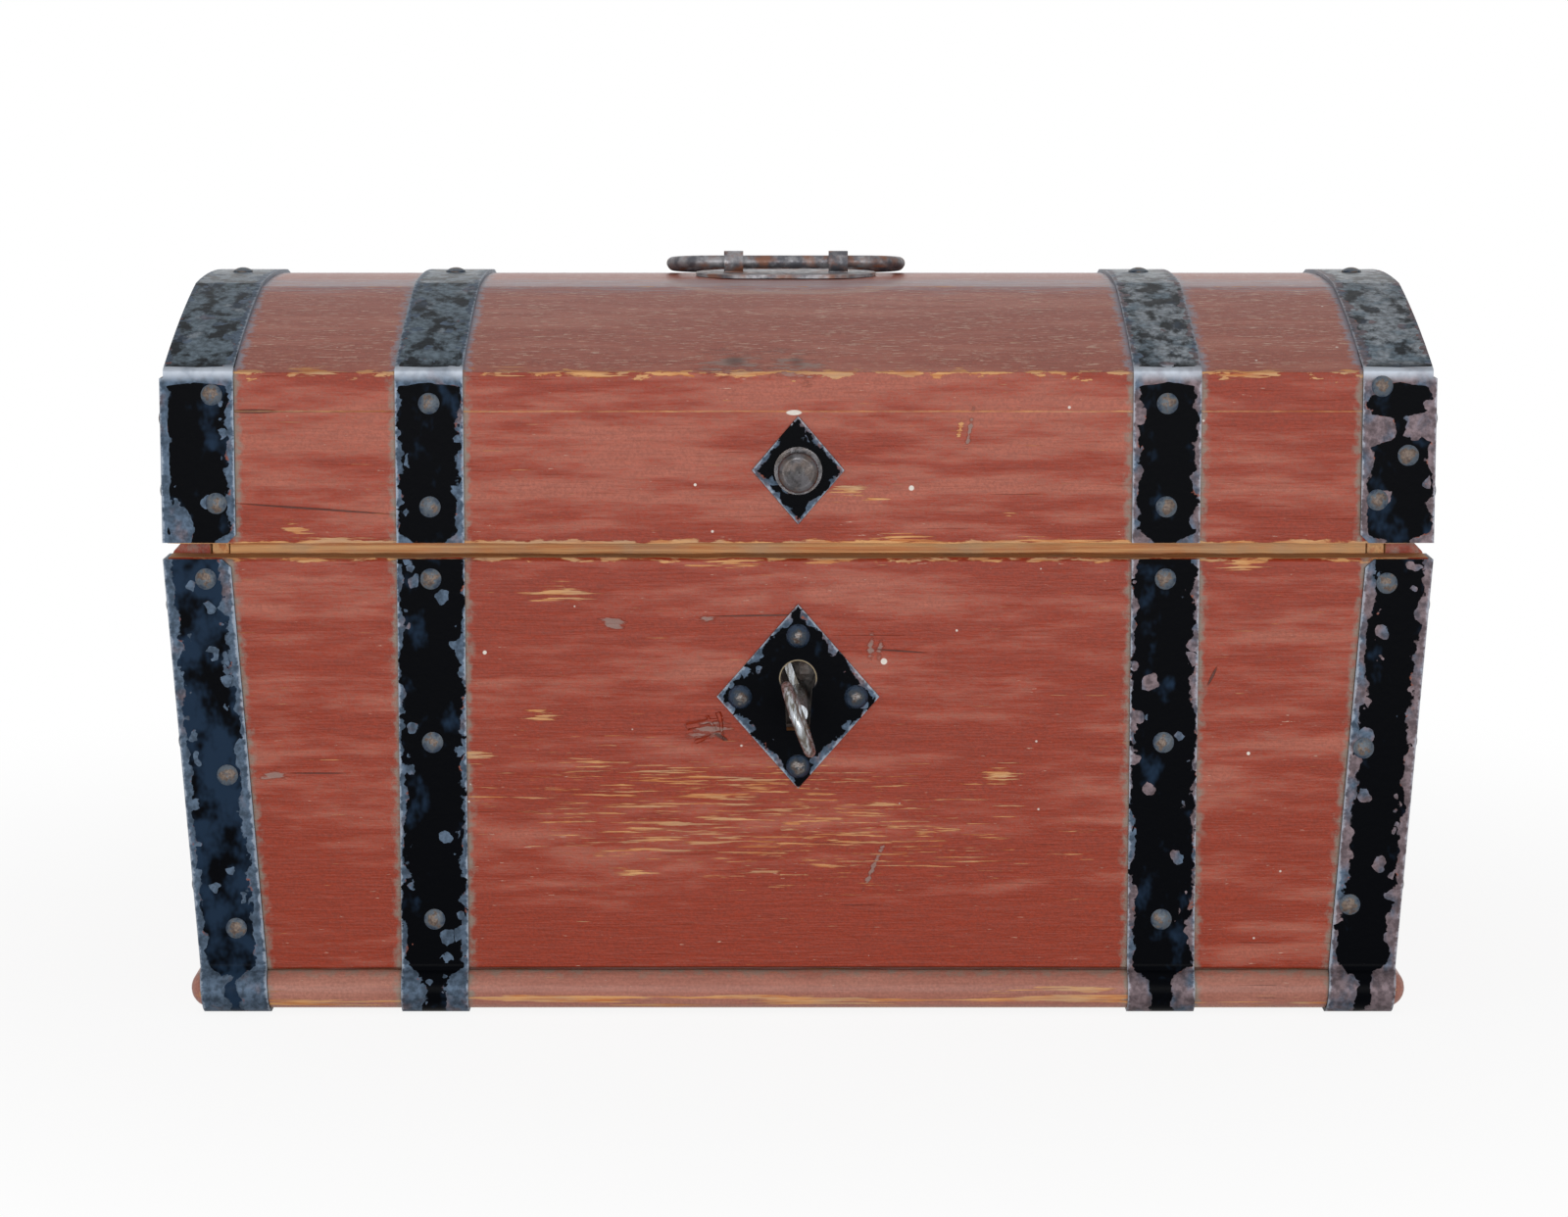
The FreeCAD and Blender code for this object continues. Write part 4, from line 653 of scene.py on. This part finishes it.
def nail_iron(name, ring_colour, crown_colour, metal, rough):
    """Hand-forged nail heads, once blacked with the straps."""
    # A rusty worn crown, a pale scratched ring round it and a black foot.
    colours = bpy.context.scene.dome_box_colours
    surface, tree, shader, where, _ = start_material(name)
    facing = add(tree, "ShaderNodeTexCoord").outputs["Normal"]
    facing = add(tree, VECTOR, {0: facing}, "ABSOLUTE")
    parts = add(tree, "ShaderNodeSeparateXYZ", {0: facing}).outputs
    most = add(tree, MATH, {0: parts["X"], 1: parts["Y"]}, "MAXIMUM")
    most = add(tree, MATH, {0: most, 1: parts["Z"]}, "MAXIMUM")
    mottle = speckle(tree, where, 2.6, 4.0)
    pits = speckle(tree, where, 1.0, 3.0, 5.0)
    wander = add(tree, RANGE, {0: mottle, 1: 0.3, 2: 0.7, 3: -0.10, 4: 0.10}, **SOFT)
    most = add(tree, MATH, {0: most, 1: wander}, "ADD")
    ring = add(tree, RANGE, {0: most, 1: 0.76, 2: 0.88, 3: 0.0, 4: 0.95}, **SOFT)
    crown = add(tree, RANGE, {0: most, 1: 0.90, 2: 0.98, 3: 0.0, 4: 0.9}, **SOFT)
    head = add(tree, MIX, {0: ring, 6: colours.japan_blue, 7: ring_colour}, **TINT)
    worn = add(tree, RANGE, {0: pits, 1: 0.35, 2: 0.65}, **SOFT)
    rusty = add(tree, MIX, {0: worn, 6: colours.rust_dark, 7: crown_colour}, **TINT)
    head = add(tree, MIX, {0: crown, 6: head, 7: rusty}, **TINT)
    height = add(tree, MATH, {0: mottle, 1: 1.2, 2: pits}, "MULTIPLY_ADD")
    bump = add(tree, "ShaderNodeBump", {"Strength": 0.6, "Distance": 0.4 * MM, "Height": height})
    plug(tree, shader, {"Base Color": head, "Normal": bump, "Metallic": metal,
                        "Roughness": rough})
    return surface


def forged_iron(name, ground, worn, stained, spot, metal, rough, clean=0.46):
    """Hammered iron, dark in the hollows, worn lighter, with rust."""
    # No film on it: a mottled dull metal whose highlights break up over the hammer marks.
    surface, tree, shader, where, _ = start_material(name)
    small, large = (tuple(part * size for size in spot) for part in (0.4, 1.7))
    mottle = speckle(tree, where, spot, 4.0)
    pits = speckle(tree, where, small, 3.0, 5.0)
    rusty = speckle(tree, where, large, 4.0, 13.0)
    light = add(tree, RANGE, {0: mottle, 1: 0.38, 2: 0.62}, **SOFT)
    iron = add(tree, MIX, {0: light, 6: ground, 7: worn}, **TINT)
    share = add(tree, RANGE, {0: rusty, 1: clean, 2: clean + 0.18, 3: 0.0, 4: 0.85}, **SOFT)
    iron = add(tree, MIX, {0: share, 6: iron, 7: stained}, **TINT)
    dull = add(tree, RANGE, {0: share, 3: metal, 4: 0.2 * metal}, **SOFT)
    blunt = add(tree, RANGE, {0: pits, 1: 0.3, 2: 0.7, 3: rough - 0.1, 4: rough + 0.15}, **SOFT)
    height = add(tree, MATH, {0: mottle, 1: 0.7, 2: pits}, "MULTIPLY_ADD")
    bump = add(tree, "ShaderNodeBump", {"Strength": 0.4, "Distance": 0.3 * MM, "Height": height})
    plug(tree, shader, {"Base Color": iron, "Metallic": dull, "Roughness": blunt,
                        "Normal": bump})
    return surface


def merged_copy(node):
    """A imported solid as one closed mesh: triangles joined, flat faces whole again."""
    bm = bmesh.new()
    bm.from_mesh(frame["nodes"][node].data)
    bmesh.ops.remove_doubles(bm, verts=bm.verts, dist=WELD)
    bmesh.ops.dissolve_limit(bm, angle_limit=FLAT, verts=bm.verts, edges=bm.edges)
    return bm


def cut_at(bm, axis, place):
    """Cuts a board square to an axis at one place."""
    normal = Vector((0.0, 0.0, 0.0))
    normal[axis] = 1.0
    every = bm.verts[:] + bm.edges[:] + bm.faces[:]
    bmesh.ops.bisect_plane(bm, geom=every, dist=WELD, plane_co=normal * place, plane_no=normal)


def cut_across(bm, axis, step):
    """Cuts a board across its grain at even steps, so that its arrises can waver."""
    places = [v.co[axis] for v in bm.verts]
    first, last = min(places), max(places)
    count = max(2, round((last - first) / step))
    for cut in range(1, count):
        cut_at(bm, axis, first + (last - first) * cut / count)


def arris_edges(bm, angle):
    """Outer edges where two faces meet at more than an angle."""
    bm.normal_update()
    return [e for e in bm.edges
            if len(e.link_faces) == 2 and e.is_convex and e.calc_face_angle() > angle]


def open_edges(bm):
    """Arrises of a board, without those shut in a joint to the next stave."""
    shut = ((WALL, SEAM), (CROWN_HALF, CROWN))
    return [e for e in arris_edges(bm, SHARP)
            if not any(abs(abs(v.co.y) - y * MM) < MM and abs(v.co.z - z * MM) < MM
                       for y, z in shut for v in e.verts)]


def rub_arrises(bm, depth, reach):
    """Rubs the arrises down, more here and less there."""
    corners = {v for e in open_edges(bm) for v in e.verts}
    moves = []
    for corner in corners:
        spot = corner.co / reach
        share = 0.5 + 0.5 * noise.noise(spot) + 0.25 * noise.noise(spot * 3.1)
        moves.append((corner, corner.normal * depth * min(1.0, max(0.0, share)) ** 2))
    for corner, move in moves:
        corner.co -= move


def round_edges(bm, edges, offset, segments):
    """Rounds some edges."""
    bmesh.ops.bevel(bm, geom=edges, offset=offset, offset_type="OFFSET", segments=segments,
                    profile=0.5, affect="EDGES", material=-1, clamp_overlap=True)


def show_piece(bm, name, node, materials, instead=True):
    """Puts a finished mesh on its node's body, instead of the node or beside it."""
    bm.normal_update()
    for face in bm.faces:
        face.smooth = True
    for edge in bm.edges:
        edge.smooth = len(edge.link_faces) == 2 and edge.calc_face_angle() < SHARP
    mesh = bpy.data.meshes.new(name)
    bm.to_mesh(mesh)
    bm.free()
    for surface in materials:
        mesh.materials.append(surface)
    piece = bpy.data.objects.new(name, mesh)
    bpy.context.scene.collection.objects.link(piece)
    even = piece.modifiers.new("even_shading", "WEIGHTED_NORMAL")
    even.keep_sharp = True
    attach(piece, BODY_OF[node])
    if instead:
        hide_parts(node)


def dress(node, surface):
    """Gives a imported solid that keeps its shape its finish."""
    slots = frame["nodes"][node].data.materials
    slots.clear()
    slots.append(surface)


def worn_board(node, along, paint, raw, ledge=None, upright=None):
    """A board with rubbed arrises, painted outside and raw inside."""
    sizes = bpy.context.scene.dome_box_sizes
    bm = merged_copy(node)
    if ledge:
        for axis, half in enumerate(ledge):
            cut_at(bm, axis, half)
            cut_at(bm, axis, -half)
    cut_across(bm, "XYZ".index(along), sizes.board_step)
    rub_arrises(bm, sizes.arris_wear, sizes.wear_reach)
    heart = Vector((0.0, 0.0, 0.5 * RIDGE * MM))
    bm.normal_update()
    for face in bm.faces:
        middle = face.calc_center_median()
        flat = abs(face.normal.z) > 0.9 and middle.z < LID_FOOT * MM + 0.01
        if ledge and face.normal.z > 0.9:
            flat = all(abs(middle[axis]) < half for axis, half in enumerate(ledge))
        outside = not flat and (face.normal.dot(middle - heart) > 0.0 or bool(ledge))
        face.material_index = 0 if outside else 1
        if upright and outside and abs(face.normal.y) > 0.95:
            face.material_index = 2
    round_edges(bm, open_edges(bm), sizes.arris_round, 2)
    show_piece(bm, node + "_worn", node, (paint, raw, upright or paint))


def bent_sheet(node, surface):
    """Sheet iron with rounded folds and eased cut edges."""
    sizes = bpy.context.scene.dome_box_sizes
    bm = merged_copy(node)
    wide = 3.0 * MM
    folds = [e for e in arris_edges(bm, FOLD)
             if e.calc_length() > wide
             and all(f.calc_area() / e.calc_length() > wide for f in e.link_faces)]
    if folds:
        round_edges(bm, folds, sizes.fold_round, 4)
    round_edges(bm, arris_edges(bm, CUT_EDGE), sizes.sheet_round, 2)
    # Short edges hold the rounding of some straps back to nothing: its slivers merge away.
    bmesh.ops.remove_doubles(bm, verts=bm.verts, dist=SLIVER)
    show_piece(bm, node + "_sheet", node, (surface,))


class DOMEBOX_OT_base_boards(bpy.types.Operator):
    """Four walls and the bottom with its nosing"""

    bl_idname = "dome_box.base_boards"
    bl_label = "Base boards"

    def execute(self, context):
        marks = (BASE_CHIPS, BASE_DENTS_AND_SPLINTER_SHADOW, BASE_CRACKS_AND_SPLINTER_SHADOW, BASE_FLECKS)
        long_paint = oxide_red_paint("oxide_red_paint_on_base", "X", ((WALL, RIM, 0.5, 2.4),),
                                     BASE_LEG, LEAN, marks, rubbed=True, oil=0.02)
        end_rim = ((HALF_RIM, high("left_end_board").z, 0.5, 2.4),)
        end_paint = oxide_red_paint("oxide_red_paint_on_ends", "Y", end_rim, WING, 0.0)
        nose_lines = ((WALL + 6.0, 3.5, -0.5, 7.0),)
        nose_paint = oxide_red_paint("oxide_red_paint_on_nosing", "X", nose_lines, BASE_LEG, 0.0,
                                     faded_and_sheen=0.6, tear=60.0, top=FLOOR)
        pine = raw_pine("raw_pine_lengthwise", "X")
        pine_end = raw_pine("raw_pine_endwise", "Y")
        for node in ("front_board", "back_board"):
            worn_board(node, "X", long_paint, pine)
        for node in ("left_end_board", "right_end_board"):
            worn_board(node, "Y", end_paint, pine_end)
        worn_board("bottom_board", "X", nose_paint, pine,
                   ledge=((HALF_FOOT - 1.0) * MM, (WALL - 1.0) * MM))
        return {"FINISHED"}


class DOMEBOX_OT_splinters(bpy.types.Operator):
    """Slivers of the front torn up beside the keyhole plate"""

    bl_idname = "dome_box.splinters"
    bl_label = "Splinters"

    def execute(self, context):
        bm = bmesh.new()
        for root, tip, thick in SPLINTERS:
            start, end = (Vector((x, -WALL - 0.2, z)) * MM for x, z in (root, tip))
            run = end - start
            place = Matrix.Translation(0.5 * (start + end))
            place = place @ run.to_track_quat("Z", "Y").to_matrix().to_4x4()
            sliver = bmesh.ops.create_cone(
                bm, cap_ends=True, segments=6, radius1=thick * MM, radius2=0.25 * thick * MM,
                depth=run.length, matrix=place)["verts"]
            sides = [e for e in {e for v in sliver for e in v.link_edges}
                     if e.calc_length() > 0.8 * run.length]
            bmesh.ops.subdivide_edges(bm, edges=sides, cuts=6)
        noise.seed_set(SPLINTER_SEED)
        for corner in bm.verts:
            corner.co += noise.noise_vector(corner.co * 420.0) * 0.45 * MM
        paint = bpy.data.materials["oxide_red_paint_on_base"]
        show_piece(bm, "front_board_splinters", "front_board", (paint,),
                   instead=False)
        return {"FINISHED"}


class DOMEBOX_OT_lid_boards(bpy.types.Operator):
    """Lid walls and the three staves of the dome"""

    bl_idname = "dome_box.lid_boards"
    bl_label = "Lid boards"

    def execute(self, context):
        marks = (LID_CHIPS, LID_DENTS, LID_CRACKS, LID_FLECKS)
        wall_lines = ((WALL, LID_FOOT, 0.6, 2.2), (WALL, SEAM, 0.1, 0.4),
                      (WALL, CREASE, -0.4, 3.4))
        wall_paint = oxide_red_paint("oxide_red_paint_on_lid", "X", wall_lines, LID_LEG, 0.0,
                                     marks)
        dome_lines = ((WALL, CREASE, -0.4, 3.4), (CROWN_HALF, CROWN, -1.0, 1.0))
        low_bail, high_bail = low("handle_bail"), high("handle_bail")
        arc = (0.5 * (low_bail.x + high_bail.x), 0.5 * (high_bail.x - low_bail.x) - 2.0,
               high_bail.y - 2.0)
        # The dome's paint is paled towards grey all over, partly as painted sheen.
        dome_paint = oxide_red_paint("oxide_red_paint_on_dome", "X", dome_lines, LID_LEG, 0.0,
                                     marks, faded_and_sheen=0.28, arc=arc, scuffed=0.105, oil=0.05,
                                     sheen=0.17)
        ends = ((HALF_RIM, LID_FOOT, 0.5, 2.2),)
        end_paint = oxide_red_paint("oxide_red_paint_on_lid_ends", "Y", ends, WING, 0.0)
        pine = bpy.data.materials["raw_pine_lengthwise"]
        pine_end = bpy.data.materials["raw_pine_endwise"]
        for node in ("lid_front_board", "lid_back_board"):
            worn_board(node, "X", wall_paint, pine)
        for node in ("front_stave", "crown_stave", "back_stave"):
            worn_board(node, "X", dome_paint, pine, upright=wall_paint)
        for node in ("lid_left_end", "lid_right_end"):
            worn_board(node, "Y", end_paint, pine_end)
        return {"FINISHED"}


class DOMEBOX_OT_lips(bpy.types.Operator):
    """Raw strips inside the rim that the lid closes over"""

    bl_idname = "dome_box.lips"
    bl_label = "Lips"

    def execute(self, context):
        pine = bpy.data.materials["raw_pine_lengthwise"]
        pine_end = bpy.data.materials["raw_pine_endwise"]
        worn_board("front_lip", "X", pine, pine)
        for node in ("left_lip", "right_lip"):
            worn_board(node, "Y", pine_end, pine_end)
        return {"FINISHED"}


class DOMEBOX_OT_straps(bpy.types.Operator):
    """Iron straps and corner straps of base and lid"""

    bl_idname = "dome_box.straps"
    bl_label = "Straps"

    def execute(self, context):
        inner = black_japan("black_japan_on_straps", "strap", STRAP_MIDDLE, 0.0, STRAP_HALF)
        leg = HALF_RIM + SHEET - LID_LEG
        lid_corner = black_japan("black_japan_on_lid_corners", "corner",
                                 LID_LEG + 0.5 * leg, 0.0, 0.5 * leg, loss=0.9,
                                 bald=LID_BALD)
        leg = HALF_FOOT + SHEET - BASE_LEG
        base_corner = black_japan("black_japan_on_base_corners", "corner",
                                  BASE_LEG + 0.5 * leg, LEAN, 0.5 * leg, loss=1.4)
        for side in ("left", "right"):
            bent_sheet("lid_strap_" + side, inner)
            bent_sheet("lid_corner_strap_" + side, lid_corner)
            for face in ("front_", "back_"):
                bent_sheet("base_strap_" + face + side, inner)
                bent_sheet("base_corner_" + face + side, base_corner)
        return {"FINISHED"}


class DOMEBOX_OT_nails(bpy.types.Operator):
    """Forged nails of straps, plates and lock"""

    bl_idname = "dome_box.nails"
    bl_label = "Nails"

    def execute(self, context):
        iron = nail_iron("forged_nail_iron", linear("#4a535c"), linear("#6a594b"), 0.25, 0.45)
        for node in ("base_strap_nails", "lid_strap_nails", "lock_nails", "catch_nails"):
            dress(node, iron)
        blacked = nail_iron("blacked_nail_iron", linear("#2d343c"), linear("#64615f"), 0.5, 0.24)
        dress("keyhole_plate_nails", blacked)
        return {"FINISHED"}


class DOMEBOX_OT_plates(bpy.types.Operator):
    """Lozenge plates of the knob and the keyhole, and the knob"""

    bl_idname = "dome_box.plates"
    bl_label = "Plates and knob"

    def execute(self, context):
        keyhole = (high("keyhole_plate").z - KEYHOLE_DROP, KEYHOLE_RADIUS)
        for node, hole in (("knob_plate", None), ("keyhole_plate", keyhole)):
            bottom, top = low(node), high(node)
            film = black_japan("black_japan_on_" + node, "diamond", half=top.x,
                               level=0.5 * (bottom.z + top.z), tall=0.5 * (top.z - bottom.z),
                               loss=-0.6, hole=hole)
            bent_sheet(node, film)
        iron = forged_iron("turned_knob_iron", linear("#2c2a2b"), linear("#545255"),
                           linear("#4a3b33"), (4.5,) * 3, 0.45, 0.34)
        dress("lid_knob", iron)
        return {"FINISHED"}


class DOMEBOX_OT_handle(bpy.types.Operator):
    """Bail handle, its eyes and its plate"""

    bl_idname = "dome_box.handle"
    bl_label = "Handle"

    def execute(self, context):
        iron = forged_iron("rusted_handle_iron", linear("#55555b"), linear("#8c8b8e"),
                           linear("#7a4b31"), (5.0,) * 3, 0.6, 0.5)
        for node in ("handle_bail", "handle_eye_left", "handle_eye_right", "handle_plate"):
            dress(node, iron)
        return {"FINISHED"}


class DOMEBOX_OT_key(bpy.types.Operator):
    """Key with its ring bow"""

    bl_idname = "dome_box.key"
    bl_label = "Key"

    def execute(self, context):
        colours = context.scene.dome_box_colours
        steel = forged_iron("handled_key_steel", linear("#645f57"), colours.key_steel,
                            linear("#4f4133"), (0.9, 2.0, 9.0), 0.7, 0.34, clean=0.50)
        dress("key", steel)
        return {"FINISHED"}


class DOMEBOX_OT_lock(bpy.types.Operator):
    """Lock inside the front, its catch on the lid, and the hinge pins"""

    bl_idname = "dome_box.lock"
    bl_label = "Lock and pins"

    def execute(self, context):
        colours = context.scene.dome_box_colours
        iron = forged_iron("dark_forged_lock_iron", linear("#2f2c2b"), linear("#5c5856"),
                           colours.rust_dark, (6.0,) * 3, 0.7, 0.5)
        for node in ("lock_plate", "lock_case", "bolt_spring", "lock_bolt", "lock_catch",
                     "hinge_pin_left", "hinge_pin_right"):
            dress(node, iron)
        return {"FINISHED"}


def seen_straight(tree):
    """1 for rays that show the white ground itself, 0 for rays that light the box."""
    path = add(tree, "ShaderNodeLightPath").outputs
    seen = add(tree, MATH, {0: path["Is Camera Ray"], 1: path["Is Glossy Ray"]},
               "MAXIMUM")
    return add(tree, MATH, {0: seen, 1: path["Is Transmission Ray"]}, "MAXIMUM")


class DOMEBOX_OT_stage(bpy.types.Operator):
    """Pale floor, soft lamps, white surround and the camera"""

    bl_idname = "dome_box.stage"
    bl_label = "Stage"

    def execute(self, context):
        scene = context.scene
        bm = bmesh.new()
        bmesh.ops.create_grid(bm, x_segments=1, y_segments=1, size=FLOOR_HALF)
        mesh = bpy.data.meshes.new("studio_floor")
        bm.to_mesh(mesh)
        bm.free()
        floor = bpy.data.objects.new("studio_floor", mesh)
        scene.collection.objects.link(floor)
        floor.location.z = -FLOOR_GAP
        paper = bpy.data.materials.new("white_studio_paper")
        paper.use_nodes = True
        tree = paper.node_tree
        tree.nodes.clear()
        matt = add(tree, "ShaderNodeBsdfDiffuse", {"Color": scene.dome_box_colours.ground})
        lit = add(tree, "ShaderNodeEmission", {"Color": linear("#ffffff"), "Strength": 1.0})
        seen = seen_straight(tree)
        spot = add(tree, "ShaderNodeTexCoord").outputs["Object"]
        far = add(tree, VECTOR, {0: spot}, "LENGTH")
        far = add(tree, RANGE, {0: far, 1: 0.22, 2: 0.6, 3: 0.90, 4: 1.0}, **SOFT)
        share = add(tree, MATH, {0: seen, 1: far}, "MULTIPLY")
        blend = add(tree, "ShaderNodeMixShader", {0: share, 1: matt, 2: lit})
        add(tree, "ShaderNodeOutputMaterial", {"Surface": blend})
        mesh.materials.append(paper)

        world = bpy.data.worlds.new("white_surround")
        world.use_nodes = True
        tree = world.node_tree
        tree.nodes.clear()
        seen = seen_straight(tree)
        strength = add(tree, RANGE, {0: seen, 3: 0.40, 4: 1.0}, **SOFT)
        sky = add(tree, "ShaderNodeBackground", {"Color": linear("#ffffff"), "Strength": strength})
        add(tree, "ShaderNodeOutputWorld", {"Surface": sky})
        scene.world = world

        for name, power, size, spot, aim in LAMPS:
            light = bpy.data.lights.new(name, "AREA")
            light.shape = "RECTANGLE"
            light.energy = power
            light.size, light.size_y = size
            lamp = bpy.data.objects.new(name, light)
            scene.collection.objects.link(lamp)
            lamp.location = spot
            lamp.rotation_euler = (Vector(aim) - Vector(spot)).to_track_quat("-Z", "Y").to_euler()

        camera = bpy.data.cameras.new("photo_view")
        camera.sensor_width = SENSOR
        camera.lens = LENS
        viewer = bpy.data.objects.new("photo_view", camera)
        scene.collection.objects.link(viewer)
        viewer.location = VIEWPOINT
        viewer.rotation_euler = (PITCH, 0.0, 0.0)
        scene.camera = viewer
        scene.view_settings.view_transform = "Standard"
        return {"FINISHED"}


OPERATORS = (
    DOMEBOX_OT_stage, DOMEBOX_OT_base_boards, DOMEBOX_OT_splinters, DOMEBOX_OT_lid_boards,
    DOMEBOX_OT_lips, DOMEBOX_OT_straps, DOMEBOX_OT_nails, DOMEBOX_OT_plates, DOMEBOX_OT_handle,
    DOMEBOX_OT_key, DOMEBOX_OT_lock,
)


class DOMEBOX_PT_panel(bpy.types.Panel):
    """Lists the sizes, the colours and the steps of the box"""

    bl_idname = "DOMEBOX_PT_panel"
    bl_label = "Dome Top Box"
    bl_space_type = "VIEW_3D"
    bl_region_type = "UI"
    bl_category = "Dome Box"

    def draw(self, context):
        for group in (context.scene.dome_box_sizes, context.scene.dome_box_colours):
            for name in group.__annotations__:
                self.layout.prop(group, name)
        for step in OPERATORS:
            self.layout.operator(step.bl_idname)


CLASSES = (DomeBoxSizes, DomeBoxColours, *OPERATORS, DOMEBOX_PT_panel)


def register():
    """Registers the classes and hangs the sizes and colours on the scene."""
    for each in CLASSES:
        bpy.utils.register_class(each)
    bpy.types.Scene.dome_box_sizes = bpy.props.PointerProperty(type=DomeBoxSizes)
    bpy.types.Scene.dome_box_colours = bpy.props.PointerProperty(type=DomeBoxColours)


def unregister():
    """Takes the sizes, the colours and the classes away again."""
    del bpy.types.Scene.dome_box_colours
    del bpy.types.Scene.dome_box_sizes
    for each in reversed(CLASSES):
        bpy.utils.unregister_class(each)


def main():
    """Dresses the box step by step."""
    register()
    for step in OPERATORS:
        group, name = step.bl_idname.split(".")
        getattr(getattr(bpy.ops, group), name)()


if __name__ == "__main__":
    main()
